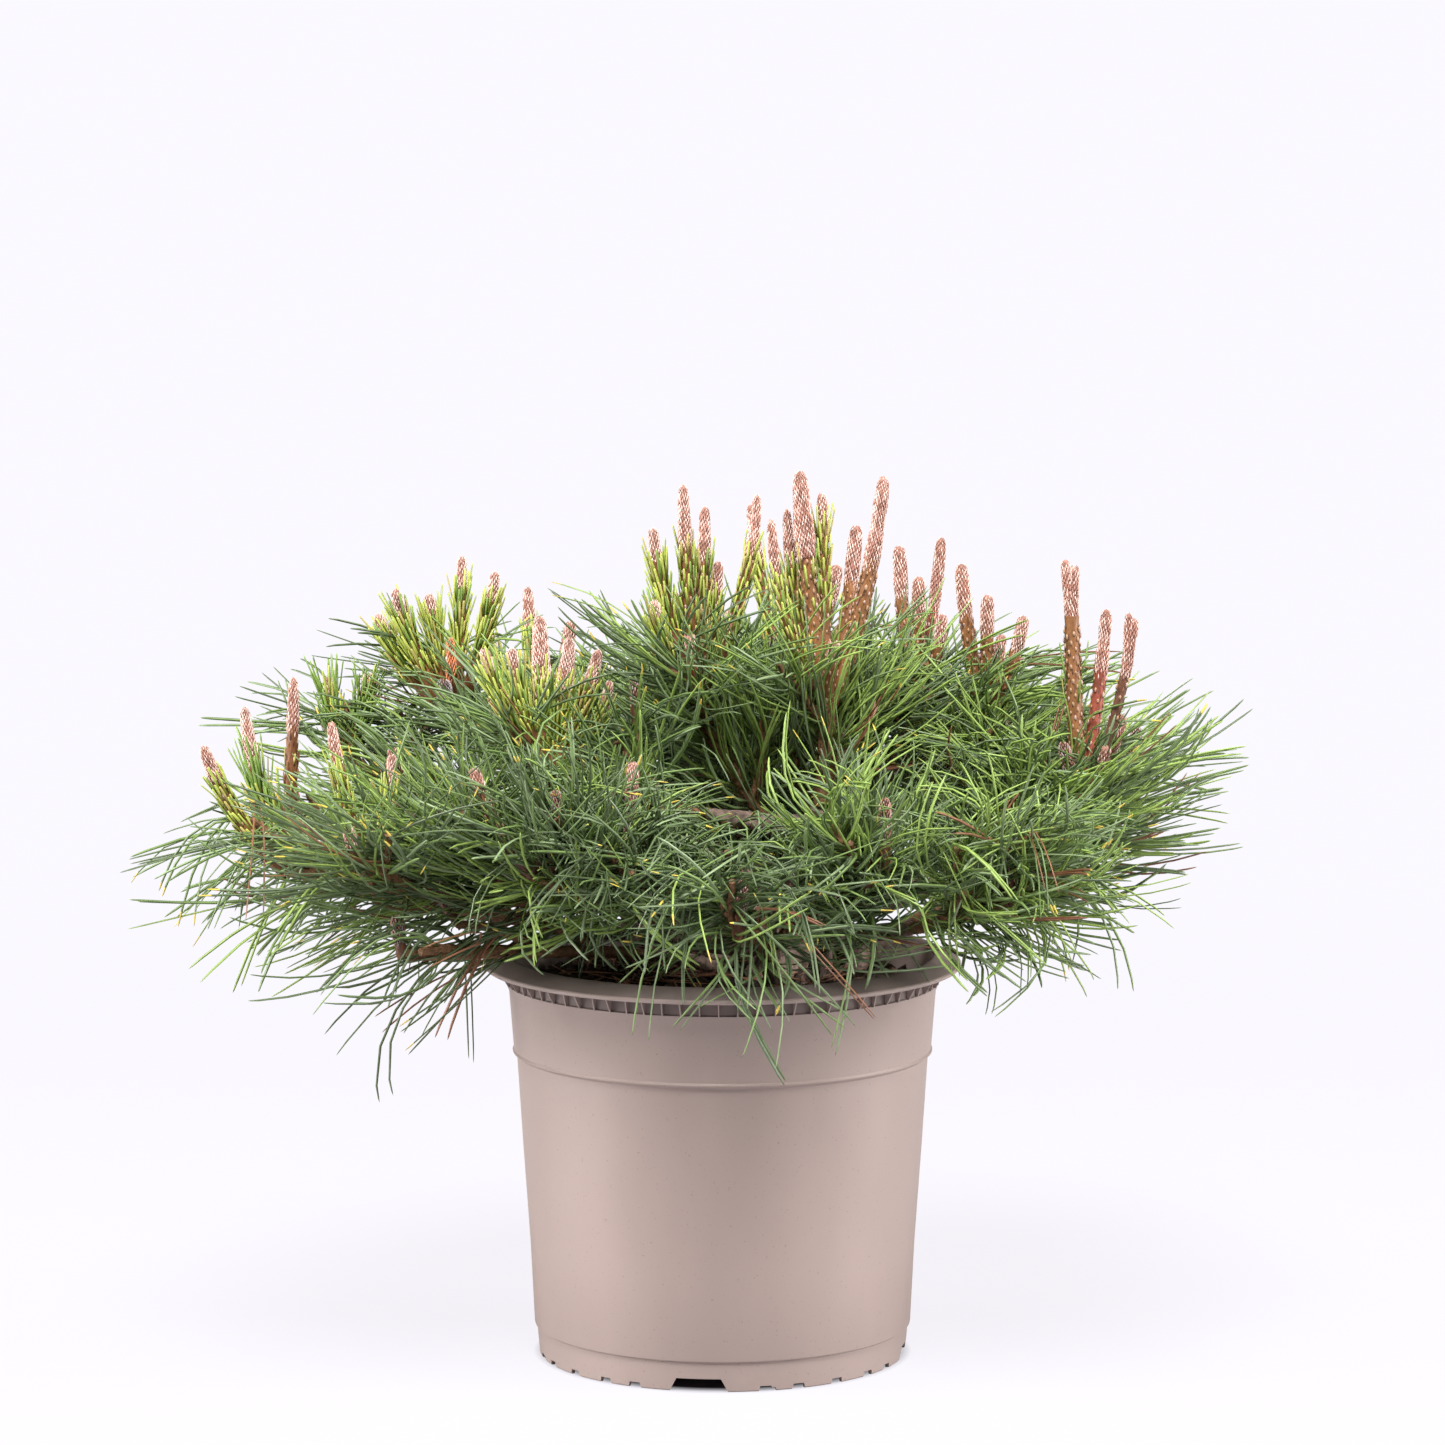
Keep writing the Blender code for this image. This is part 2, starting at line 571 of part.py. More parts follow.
def sprays_for(frame, others, limbs, rng):
    """The sprays of a mass, each as a root, a fork and the tips of the needles that part there."""
    branch = frame.branch
    foot = branch.bare + SPRAY_FOOT * (1 - branch.bare)
    stems = [(frame.curve, foot)] + [(twig, SPRAY_FOOT) for twig in frame.twigs]
    weights = [curve_length(ends) * (1 - first) for ends, first in stems]
    placed = []
    taken = []
    for tried in range(branch.sprays * SPRAY_TRIES):
        if len(placed) == branch.sprays:
            break
        ends, first = rng.choices(stems, weights)[0]
        share = first + (1 - first) * rng.random()
        root = curve_point(ends, share)
        heading = curve_speed(ends, share).normalized()
        side = heading.orthogonal().normalized()
        side.rotate(Matrix.Rotation(tried * GOLDEN_ANGLE, 3, heading))
        open_angle = math.radians(rng.uniform(*SPRAY_OPEN))
        aim = heading * math.cos(open_angle) + side * math.sin(open_angle)
        pull = SPRAY_RISE[0] - SPRAY_RISE[1] * branch.droop
        aim = (aim + Vector((0, 0, pull))).normalized()
        length = rng.uniform(*NEEDLE_LENGTH)
        droop = branch.droop * rng.uniform(*DROOP_VARIES)
        fork = root + aim * (STALK_SHARE * length)
        stalk = np.array([tuple(root.lerp(fork, t)) for t in (0.5, 1.0)])
        if inside_pot(stalk) or gaps_to(stalk, limbs + others).min() < STALK_GIRTHS[1] + KEEP_CLEAR:
            continue
        across = aim.orthogonal().normalized()
        across.rotate(Matrix.Rotation(rng.uniform(0, 2 * math.pi), 3, aim))
        tips = []
        for number in range(NEEDLES):
            part = across.copy()
            part.rotate(Matrix.Rotation(math.pi / 2 + 2 * math.pi * (number + 0.5) / NEEDLES, 3, aim))
            way = (aim + part * rng.uniform(*SPREAD)).normalized()
            tips.append(needle_tip(fork, way, length, droop, frame, others, limbs, taken))
        if None in tips:
            continue
        placed.append((root, fork, across, tips))
        taken += [(fork.lerp(tip, 0.1), tip, 0.0) for tip in tips]
        taken.append((root.lerp(fork, 0.4), fork, STALK_GIRTHS[1]))
    return placed


def spray(root, fork, across, tips):
    """A stalk that widens to its fork, where its end parts into long three-sided needles."""
    aim = (fork - root).normalized()
    turn = Matrix((across, aim.cross(across), aim)).transposed().to_4x4()
    bm = bmesh.new()
    bmesh.ops.create_circle(bm, cap_ends=True, segments=NEEDLES, radius=STALK_GIRTHS[0])
    bm.transform(Matrix.Translation(root) @ turn)
    cap = list(bm.faces)[0]
    grown = bmesh.ops.extrude_face_region(bm, geom=[cap])["geom"]
    cap = next(item for item in grown if isinstance(item, bmesh.types.BMFace))
    for vert in cap.verts:
        vert.co = fork + (vert.co - root) * (STALK_GIRTHS[1] / STALK_GIRTHS[0])
    for face in bmesh.ops.poke(bm, faces=[cap])["faces"]:
        middle = (face.calc_center_median() - fork).normalized()
        tip = max(tips, key=lambda place: (place - fork).normalized().dot(middle))
        bmesh.ops.poke(bm, faces=[face])["verts"][0].co = tip
    face_outwards(bm)
    return bm


def fused(name, pieces):
    """One body from closed pieces that overlap: a union, less any loose scrap."""
    operands = bpy.data.collections.new(f"{name}_pieces")
    bpy.context.scene.collection.children.link(operands)
    meshes = [mesh_from(bm, name) for bm in pieces]
    first = bpy.data.objects.new(name, meshes[0])
    bpy.context.scene.collection.objects.link(first)
    rest = [bpy.data.objects.new(name, mesh) for mesh in meshes[1:]]
    for piece in rest:
        operands.objects.link(piece)
    join = first.modifiers.new("join", "BOOLEAN")
    join.operation = "UNION"
    join.operand_type = "COLLECTION"
    join.collection = operands
    join.solver = "MANIFOLD"
    mesh = evaluated(first)
    remove(rest + [first])
    bpy.data.collections.remove(operands)
    return largest_shell(mesh)


def largest_shell(mesh):
    """A mesh without the loose scraps beside its largest body."""
    bm = bmesh.new()
    bm.from_mesh(mesh)
    bmesh.ops.triangulate(bm, faces=bm.faces)
    seen = set()
    shells = []
    for face in bm.faces:
        if face in seen:
            continue
        shell = {face}
        waiting = [face]
        while waiting:
            for edge in waiting.pop().edges:
                for near in edge.link_faces:
                    if near not in shell:
                        shell.add(near)
                        waiting.append(near)
        seen |= shell
        shells.append(shell)
    best = max(shells, key=len)
    scraps = [face for face in bm.faces if face not in best]
    bmesh.ops.delete(bm, geom=scraps, context="FACES")
    bm.to_mesh(mesh)
    bm.free()
    return mesh


def make_mass(frame, sprays, finish):
    """One mass of foliage, fused from its stem, twigs, candles and sprays."""
    branch = frame.branch
    stem = stretch(frame.curve, frame.start, 1, STEM_RINGS)
    shares = np.linspace(frame.start, 1, STEM_RINGS + 1)
    radii = [girth_at(branch, share) for share in shares]
    square = curve_speed(frame.curve, frame.start).normalized()
    pieces = [limb(stem, radii, STEM_SIDES, first=square)]
    for twig in frame.twigs:
        girths = (TWIG_GIRTH, TWIG_GIRTH, TWIG_GIRTH * 0.8)
        pieces.append(limb(stretch(twig, 0, 1, 2), girths, TWIG_SIDES))
    for candle in frame.candles:
        line = [curve_point(candle, share) for share in (*CANDLE_RINGS, 1.0)]
        pieces.append(limb(line, (*CANDLE_GIRTHS, 0), CANDLE_SIDES))
    pieces += [spray(*placed) for placed in sprays]
    add_object(f"mass_{branch.name}", fused(branch.name, pieces), finish, smooth_below=50)


def make_plant():
    """Trunk and boughs first, then every mass's wood, and last the needles between it."""
    trunk, limbs = make_trunk()
    curves = lay_out(trunk)
    for branch in BRANCHES:
        if branch.bare:
            limbs += make_bough(branch, curves[branch.name])
    first_seed = 11
    frames = [Frame(branch, curves[branch.name], first_seed + number)
              for number, branch in enumerate(BRANCHES)]
    for frame in frames:
        others = [part for other in frames if other is not frame for part in other.parts]
        frame.grow_twigs(others + limbs)
    foliage = material("foliage", (0.075, 0.16, 0.055), 0.6)
    for frame in frames:
        others = [part for other in frames if other is not frame for part in other.parts]
        sprays = sprays_for(frame, others, limbs, random.Random(frame.seed * 7 + 1))
        make_mass(frame, sprays, foliage)


def main():
    clear_scene()
    make_pot()
    make_soil()
    make_plant()


main()
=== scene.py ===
"""Potted mugo pine, dressed: its pot, soil, barked wood, twigs, candles and needles.

Metres, +Z up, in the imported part's own frame. The plant grows by the part's own rule, from the same
named branches, and is carried on here to finer twigs and to every needle.
"""

import math
import random
from collections import namedtuple

import bmesh
import bpy
import numpy as np
from bpy.props import FloatProperty, FloatVectorProperty, IntProperty, PointerProperty
from mathutils import Matrix, Vector, noise


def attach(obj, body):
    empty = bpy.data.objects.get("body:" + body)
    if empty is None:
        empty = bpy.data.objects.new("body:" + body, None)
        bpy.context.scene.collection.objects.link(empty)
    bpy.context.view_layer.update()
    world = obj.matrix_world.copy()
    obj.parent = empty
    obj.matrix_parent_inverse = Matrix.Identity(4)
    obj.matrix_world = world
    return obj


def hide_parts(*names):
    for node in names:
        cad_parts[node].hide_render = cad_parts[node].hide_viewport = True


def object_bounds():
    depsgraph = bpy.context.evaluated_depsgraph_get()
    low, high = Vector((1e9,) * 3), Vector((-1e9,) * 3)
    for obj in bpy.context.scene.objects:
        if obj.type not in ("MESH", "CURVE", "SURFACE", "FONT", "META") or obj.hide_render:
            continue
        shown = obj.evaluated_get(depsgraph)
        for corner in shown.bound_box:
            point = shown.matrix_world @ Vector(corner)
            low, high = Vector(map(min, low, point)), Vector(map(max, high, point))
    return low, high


bl_info = {
    "name": "Potted mugo pine",
    "version": (1, 0, 0),
    "blender": (4, 5, 0),
    "location": "3D View > Sidebar > Mugo Pine",
    "description": "Dresses the packed mugo pine with its pot, bark, candles and needles",
    "category": "Object",
}

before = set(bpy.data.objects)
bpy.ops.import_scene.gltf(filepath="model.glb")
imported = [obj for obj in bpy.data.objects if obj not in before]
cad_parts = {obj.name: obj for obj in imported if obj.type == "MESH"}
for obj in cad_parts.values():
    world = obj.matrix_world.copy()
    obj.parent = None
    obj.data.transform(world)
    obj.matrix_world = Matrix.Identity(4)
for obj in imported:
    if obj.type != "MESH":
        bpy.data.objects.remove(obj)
CAD_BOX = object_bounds()

# Pot and soil, as in the part
BIG_NOTCHES = 4
BIG_NOTCH_WIDTH = (0.0300, 0.0213)      # at the ground and at its top
BIG_NOTCH_TURN = -97.3                  # degrees, a little left of the front
SMALL_NOTCH_TURNS = (20.6, 31.3, 45.0, 58.7, 69.4)
SMALL_NOTCH_SIZE = (0.0076, 0.0025)     # width at the ground and height
SMALL_NOTCH_NARROWS = 0.72              # its width at its top, as a share
NICK_TURN = 23.2
NICK_SHARES = (0.5, 0.2, 0.7)           # of a small notch: width at the ground, at top, height
NOTCH_DEPTH = 0.004
DRAIN_HOLES = 8
DRAIN_RADIUS = 0.004
DRAIN_CIRCLE = 0.073
GUSSETS_STOP = (0.0078, 0.0048)         # how far inside the lip's edge, turn about
GUSSET_FOOT = (0.1028, 0.1048)          # inner and outer radius at its lower end
GUSSET_HEIGHTS = (0.1820, 0.1912)
GUSSET_THICKNESS = 0.0006
PAINTED_SHADE_ABOVE = 0.1822                    # painted shade on the lip and the band under it, from this height
PAINTED_SHADE_WITHIN = 0.0020                   # up to this far inside the lip's edge
SMEARED = (1, 1, 0.35)                  # a grain drawn out upwards
SOIL_RADIUS = 0.0955
SOIL_FOOT = 0.0888
SOIL_WALL = ((0.0939, 0.1000), (0.0966, 0.1470), (0.0990, 0.1740))
SOIL_RINGS = 26
SOIL_DIPS = (7, 0.004)                  # over its outer rings, by this much at the wall
LUMP_REACH = SOIL_RADIUS - 0.004
LUMPS_SINK_FROM = 0.07
KEPT_CLEAR = (0.0925, 0.115, 0.196)     # the wall's inner and outer radius and its top
KEPT_ABOVE = 0.1855                     # the soil's bumps
TWIG_CLEARANCE = 0.004
NEEDLE_CLEARANCE = 0.002

# Trunk, boughs and twigs, as in the part
GAP = 0.0003
TRUNK_FOOT = (0.030, 0.004)
TRUNK_TOP = Vector((0.049, -0.007, 0.268))
TRUNK_BOW = Vector((0.008, 0.004, 0.0))
TRUNK_RADII = (0.0185, 0.0150, 0.0128, 0.0112, 0.0098, 0.0084, 0.0070)
TRUNK_RINGS = (0.0, 0.10, 0.22, 0.40, 0.60, 0.80, 1.0)
ROOT_SINK = 0.006                       # wood carried on into the soil
TOP_SINK = 0.004                        # and into the trunk's top
FLARE_HEIGHT = 0.022
TOP_TILT = 0.16
TIP_GIRTH = 0.62
BEND_REACH = 0.62
BEND_RISE = 0.30
LOWEST_JOINT = 0.197
TIER_STEP = 0.003
FROM_SOIL = "soil"
FROM_TOP = "top"
SUCKER_REACH = 0.034
SUCKER_RISE = 0.018
WHORL_GIRTH = 0.0036
TWIG_GIRTH = 0.0024
TWIG_PLACES = (0.22, 0.80)
TWIG_LENGTH = 0.020
TWIG_STEM_SHARE = 0.34
TWIG_SHORTER = 0.4
TWIG_VARIES = (0.85, 1.15)
TWIG_BEND = 0.55
TWIG_SPLAY = (0.45, 0.55)
TWIG_RISE = (0.35, 0.6)
CANDLE_FOOT = 0.002
CANDLE_SCATTER = 0.16
CANDLE_BEND = (0.72, 0.42)
CANDLE_VARIES = (0.92, 1.05)
BESIDE_BEND = (0.9, 0.40)
GOLDEN_ANGLE = math.radians(137.5)
FIRST_SEED = 11
SEEDS = {"lumps": 5, "scales": 23, "needles": 700, "girths": 3, "candles": 41, "buds": 77,
         "litter": 19}

# Bark, finer twigs, scales and needles, which only the scene carries
TRUNK_SIDES = 48
BOUGH_SIDES = 16
STEM_SIDES = 8
TWIG_SIDES = 6
STEM_RINGS = 0.003                      # between a stem's rings
TWIG_RINGS = 0.004
BOUGH_BARK = (0.62, 0.72)               # depth and plates, as shares of the trunk's
STEM_BARK = (0.35, 0.5)
FINE_PLACES = (0.30, 0.94)              # first and last along the twig or stem that bears them
FINE_LENGTH = (0.016, 0.034)
FINE_GIRTH = 0.0017
BOUGH_OVERLAP = 0.02                    # bark runs on this share under the needles
SCALE_SPACING = 0.0011
SCALE_SIZE = (0.0011, 0.0016, 0.0034)
TWIGS_CLAD = (0.10, 0.97)               # where needles start and end along a twig
RANK_DENSITY = (0.8, 1.0, 1.15)         # of needles on a stem, a twig and a finer twig
RANK_LENGTH = (0.84, 0.95, 1.0)
OLD_LEAN = 66                           # degrees from the shoot, for its oldest needles
YOUNG_UPRIGHT = 26                      # degrees less for its youngest
BUNDLE = 9                              # pairs of needles that sweep the same way
SWEEP_REACH = 0.35                      # a whorl this far out combs its needles fully outwards
PAIR_OPENS = 0.055
CEILING_TRIES = 6
SPRAY_SHARE = 0.6                       # needles in their spray's own tone
DEAD_SHARE = 0.015
PAST_CAD = 0.006                        # needles may pass the part's box by this much
CANDLE_CLEARANCE = 0.0040
BLOCK = 2000                            # needles measured at a time
INNER_SLOTS = (3, 4, 2, 3, 4, 5, 6)     # the finish of a needle's flat face, by the needle's own
TIP_SLOT = 5
DEAD_SLOT = 6

# Candles' small parts
SHAFT_SIDES = 12
CORE_SIDES = 10
STRAND_SPACING = 0.00095
STRAND_WIDTH = 0.0013
STRAND_THICKNESS = (0.0006, 0.0011)
PAPERY_SPACING = 0.00062
PAPERY_SIZE = (0.0012, 0.0017, 0.0044)
DOT_SIZE = (0.0012, 0.0014, 0.0028)
BUD_LENGTH = (0.012, 0.026)
BUD_SHARES = (0, 0.30, 0.08)            # of a stem's, twigs' and finer twigs' ends that bear one

# Dead needles on the soil
LITTER = 130
LITTER_REACH = 0.088
LITTER_LENGTH = (0.025, 0.050)
LITTER_WIDTH = 0.0013

# Each lamp's name, place and share of the key light
LAMP_SIZE = 1.3
LAMPS = (("left_light", (-2.2, -0.15, 0.62), 0.50), ("right_light", (2.2, -0.15, 0.75), 0.51),
         ("top_light", (-0.1, -1.28, 2.58), 1.18))

# A branch's whorl is at reach and height, turn degrees round the pot's axis from +X. Its first
# share, bare, is a bough. Candles lean from fan's first value to its last, in degrees towards +X,
# and tall gives their lengths at the first, the middle and the last.
Branch = namedtuple(
    "Branch", "name turn reach height tier girth bare fan tall candles twigs droop")

BRANCHES = (
    Branch("far_left", 182.7, 0.210, 0.238, 0, 0.0062, 0.38,
           (-32, 3), (0.073, 0.080, 0.089), 3, 4, 0.30),
    Branch("left_front", 203.2, 0.178, 0.240, 6, 0.0053, 0.34,
           (-14, 8), (0.081, 0.080, 0.060), 2, 4, 0.30),
    Branch("left_back", 163.0, 0.193, 0.280, 3, 0.0048, 0.46,
           (-12, 14), (0.045, 0.045, 0.045), 2, 3, 0.15),
    Branch("upper_left", 161.0, 0.138, 0.305, 11, 0.0055, 0.40,
           (-38, 16), (0.066, 0.070, 0.078), 5, 2, 0.05),
    Branch("centre_left", 205.8, 0.092, 0.287, 20, 0.0053, 0.34,
           (-27, 21), (0.064, 0.074, 0.068), 5, 2, 0.05),
    Branch("front_left", 228.2, 0.134, 0.250, 2, 0.0053, 0.42,
           (-28, 20), (0.057, 0.030, 0.040), 2, 4, 0.20),
    Branch("front_inner", 242.0, 0.100, 0.240, 9, 0.0046, 0.38,
           (-15, 5), (0.035, 0.045, 0.058), 2, 2, 0.10),
    Branch("crown_left", 180.0, 0.012, 0.322, 13, 0.0044, 0.30,
           (-17, 9), (0.070, 0.098, 0.064), 5, 3, -0.05),
    Branch("crown_top", 348.8, 0.0515, 0.317, FROM_TOP, 0.0060, 0.0,
           (-7, 14), (0.112, 0.085, 0.107), 5, 2, -0.05),
    Branch("crown_back", 63.0, 0.073, 0.314, 13, 0.0046, 0.34,
           (-12, 20), (0.090, 0.081, 0.066), 3, 2, 0.0),
    Branch("back_right", 36.5, 0.118, 0.309, 10, 0.0048, 0.40,
           (-7, 9), (0.062, 0.076, 0.081), 3, 2, 0.05),
    Branch("upper_right", 19.4, 0.136, 0.302, 16, 0.0048, 0.40,
           (-9, 19), (0.075, 0.063, 0.053), 4, 2, 0.08),
    Branch("right", 355.0, 0.172, 0.272, 5, 0.0060, 0.44,
           (-13, 27), (0.069, 0.108, 0.045), 5, 3, 0.10),
    Branch("right_low", 7.0, 0.190, 0.250, FROM_SOIL, 0.0053, 0.46,
           (2, 14), (0.040, 0.045, 0.052), 2, 4, 0.15),
    Branch("right_front", 327.7, 0.159, 0.234, 2, 0.0048, 0.42,
           (-8, 12), (0.030, 0.030, 0.030), 1, 4, 0.20),
    Branch("front_right", 305.7, 0.129, 0.256, FROM_SOIL, 0.0051, 0.44,
           (-10, 10), (0.028, 0.028, 0.028), 1, 3, 0.10),
    Branch("front_centre", 273.6, 0.118, 0.224, FROM_SOIL, 0.0046, 0.46,
           (5, 5), (0.030, 0.030, 0.030), 1, 3, 0.25),
    Branch("left_low", 207.0, 0.168, 0.207, FROM_SOIL, 0.0044, 0.50,
           (-20, 0), (0.020, 0.020, 0.020), 1, 3, 0.80),
    Branch("inner_back", 140.0, 0.076, 0.250, 7, 0.0044, 0.30,
           (0, 0), (0.032, 0.032, 0.032), 1, 3, 0.05),
    Branch("back_left", 128.0, 0.150, 0.285, 18, 0.0048, 0.40,
           (-24, 16), (0.062, 0.078, 0.066), 3, 3, 0.10),
    Branch("back_middle", 96.0, 0.142, 0.292, 4, 0.0053, 0.42,
           (-15, 18), (0.070, 0.086, 0.060), 3, 3, 0.10),
    Branch("back_far_left", 143.0, 0.196, 0.236, FROM_SOIL, 0.0053, 0.48,
           (-22, 8), (0.060, 0.066, 0.060), 2, 4, 0.30),
    Branch("back_low", 88.0, 0.186, 0.232, FROM_SOIL, 0.0051, 0.48,
           (-12, 12), (0.048, 0.050, 0.048), 2, 4, 0.30),
    Branch("back_right_low", 43.0, 0.190, 0.240, 5, 0.0053, 0.46,
           (-8, 18), (0.060, 0.068, 0.056), 3, 4, 0.25),
)

# What a branch's needles look like. Tones are the shares of deep, mid and bright sprays. Clad is
# where along its stem, after the bough, the needles start and end. Lift turns them up, or down if
# below 0, as they sweep along the stem and out from the pot's axis. Curl bends them at random.
# Sway turns their ends back if below 0, as in an S, and on round if above. Tipped is the share
# with yellow tips, crest is how far above the whorl they reach, and fine counts the finer twigs on
# its stem and on each twig. Styles names its candles, first to last.
Look = namedtuple(
    "Look", "piece tones length clad density lift curl sway tipped crest fine styles")

LOOKS = {
    "far_left": Look("needles_left", (.50, .40, .10), (.070, .110), (.12, .95), .19, -1.0, .42,
                     -1.2, .05, .026, (3, 1), ("streaked", "bushy", "rusty")),
    "left_front": Look("needles_left", (.36, .44, .20), (.054, .086), (.05, .95), .56, .55, .26,
                       -.6, .20, .060, (3, 1), ("streaked", "streaked")),
    "left_back": Look("needles_left", (.35, .45, .20), (.046, .066), (.10, .80), .50, .20, .22,
                      -.4, .05, .032, (1, 1), ("sprout", "sprout")),
    "left_low": Look("needles_left", (.60, .40, .00), (.076, .122), (.10, 1.0), .15, -.95, .50,
                     -1.0, .05, .020, (0, 0), ("bud",)),
    "back_far_left": Look("needles_left", (.60, .35, .05), (.052, .078), (.10, .90), .60, -.05,
                          .25, -.8, .04, .030, (1, 1), ("streaked", "rosy")),
    "upper_left": Look("needles_upper_left", (.30, .45, .25), (.050, .070), (.00, .42), .75, .30,
                       .18, -.3, .10, .038, (2, 1),
                       ("tufted", "tufted", "tufted", "tufted", "tufted")),
    "centre_left": Look("needles_upper_left", (.28, .46, .26), (.050, .076), (.00, .62), .72, .60,
                        .16, -.3, .20, .054, (3, 1),
                        ("tufted", "tufted", "woolly", "woolly", "streaked")),
    "front_left": Look("needles_front", (.34, .42, .24), (.050, .080), (.05, .96), .66, .72, .50,
                       .2, .14, .066, (3, 1), ("dotted", "bud")),
    "front_inner": Look("needles_front", (.30, .44, .26), (.046, .072), (.05, .95), .74, .90,
                        .70, .3, .07, .072, (3, 1), ("bud", "rosy")),
    "front_centre": Look("needles_front", (.56, .36, .08), (.052, .100), (.00, .98), .46, .55,
                         1.0, .4, .10, .050, (4, 2), ("bud",)),
    "front_right": Look("needles_front", (.22, .42, .36), (.042, .068), (.05, .97), .78, .8,
                        .60, .1, .07, .070, (3, 1), ("bud",)),
    "right_front": Look("needles_right", (.38, .42, .20), (.050, .080), (.16, .97), .70, .62,
                        .70, .3, .06, .056, (3, 1), ("bud",)),
    "right": Look("needles_right", (.20, .44, .36), (.054, .082), (.05, .84), .66, 1.0, .24, -.4,
                  .04, .044, (3, 1), ("bud", "forked", "red", "flared", "rosy")),
    "right_low": Look("needles_right", (.30, .46, .24), (.062, .094), (.25, .97), .78, .22, .24,
                      -.5, .04, .054, (2, 1), ("rosy", "bud")),
    "upper_right": Look("needles_right", (.18, .42, .40), (.048, .072), (.00, .62), .75, .30,
                        .18, -.3, .03, .034, (2, 1), ("plain", "plain", "rosy", "plain")),
    "crown_left": Look("needles_crown", (.14, .40, .46), (.050, .074), (.00, .62), .72, .50, .18,
                       -.3, .06, .046, (2, 1),
                       ("tufted", "tufted", "streaked", "streaked", "streaked")),
    "crown_top": Look("needles_crown", (.14, .40, .46), (.052, .078), (.12, .62), .80, .40, .18,
                      -.3, .06, .052, (2, 1), ("tall", "slim", "plain", "plain", "stepped")),
    "crown_back": Look("needles_crown", (.25, .45, .30), (.048, .072), (.00, .66), .62, .40, .18,
                       -.3, .04, .042, (2, 1), ("streaked", "plain", "plain")),
    "inner_back": Look("needles_crown", (.40, .45, .15), (.048, .070), (.05, .95), .52, .30, .22,
                       -.3, .03, .030, (2, 1), ("bud",)),
    "back_right": Look("needles_back", (.25, .45, .30), (.048, .072), (.00, .70), .75, .30, .18,
                       -.3, .05, .036, (2, 1), ("plain", "plain", "rosy")),
    "back_left": Look("needles_upper_left", (.35, .42, .23), (.048, .070), (.00, .70), .75, .25,
                      .18, -.3, .04, .022, (2, 1), ("tufted", "streaked", "plain")),
    "back_middle": Look("needles_back", (.30, .45, .25), (.050, .076), (.00, .80), .80, .35, .20,
                        -.3, .05, .040, (3, 1), ("plain", "tall", "streaked")),
    "back_low": Look("needles_back", (.30, .45, .25), (.054, .084), (.05, .95), .85, .35, .28,
                     -.6, .06, .056, (3, 1), ("plain", "rosy")),
    "back_right_low": Look("needles_back", (.30, .45, .25), (.054, .084), (.05, .95), .85, .40,
                           .28, -.6, .06, .056, (3, 1), ("plain", "stepped", "rosy")),
}

# A candle's look: the share of it that is a woolly top, the radii of that and of its shaft, their
# tones, how far apart the shaft's pale dots are, and the top's shape. Its new needles are a count,
# from one share of its length to another, with a length, a lean in degrees and a tone.
Style = namedtuple("Style", "woolly top shaft wool tone dots shape new")
New = namedtuple("New", "count first last length lean tone")
NO_NEEDLES = New(0, 0, 0, 0, (0, 0), "lime")

STYLES = {
    "plain": Style(.31, .0030, .0029, "pink", "amber", .0048, "round", NO_NEEDLES),
    "tall": Style(.33, .0046, .0034, "pink", "amber", .0050, "taper",
                  New(14, .42, .64, .011, (5, 14), "lime")),
    "stepped": Style(.36, .0035, .0034, "pink", "amber", .0050, "step", NO_NEEDLES),
    "slim": Style(.16, .0024, .0027, "pink", "amber", .0055, "round",
                  New(46, .44, .86, .013, (7, 19), "lime")),
    "tufted": Style(.21, .0024, .0029, "pale", "russet", .0, "round",
                    New(66, .36, .78, .0135, (6, 20), "lime")),
    "sprout": Style(.20, .0024, .0028, "pale", "russet", .0, "round",
                    New(60, .20, .80, .017, (8, 22), "green")),
    "bushy": Style(.34, .0030, .0028, "pale", "russet", .0, "taper",
                   New(74, .12, .60, .021, (7, 20), "green")),
    "woolly": Style(.42, .0041, .0034, "pale", "russet", .0, "taper",
                    New(80, .14, .64, .0105, (4, 12), "lime")),
    "streaked": Style(.28, .0029, .0028, "pink", "russet", .0070, "taper",
                      New(60, .22, .72, .0105, (4, 13), "lime")),
    "rusty": Style(.26, .0029, .0029, "pink", "russet", .0, "taper",
                   New(26, .10, .60, .007, (3, 9), "rust")),
    "rosy": Style(.42, .0028, .0025, "rosy", "red", .0060, "round", NO_NEEDLES),
    "red": Style(.30, .0031, .0028, "pink", "red", .0060, "step", NO_NEEDLES),
    "dotted": Style(.22, .0027, .0027, "rosy", "dark", .0046, "round", NO_NEEDLES),
    "forked": Style(.24, .0032, .0034, "pink", "amber", .0048, "lobes",
                    New(5, .42, .60, .018, (14, 26), "green")),
    "flared": Style(.30, .0026, .0023, "rosy", "dark", .0075, "lobes", NO_NEEDLES),
    "bud": Style(.60, .0028, .0024, "dusky", "dark", .0, "round", NO_NEEDLES),
    "orange": Style(.50, .0029, .0026, "orange", "russet", .0, "taper", NO_NEEDLES),
    "grey": Style(.80, .0046, .0036, "grey", "dark", .0, "round", NO_NEEDLES),
}
# Shares of pale, pink, rose, orange and grey strands in each kind of wool
WOOLS = {"pale": (.62, .24, .14, 0, 0), "pink": (.38, .28, .34, 0, 0),
         "rosy": (.14, .38, .48, 0, 0), "dusky": (.04, .20, .56, 0, .20),
         "orange": (.04, .10, .16, .70, 0), "grey": (.10, 0, .06, 0, .84)}
# Shares of lime, green, yellow and rusty needles in each tone of new needles
NEW_TONES = {"lime": (.66, .18, .16, 0), "green": (.12, .84, .04, 0), "rust": (0, 0, .2, .8)}
SHAFTS = ("amber", "russet", "red", "dark")
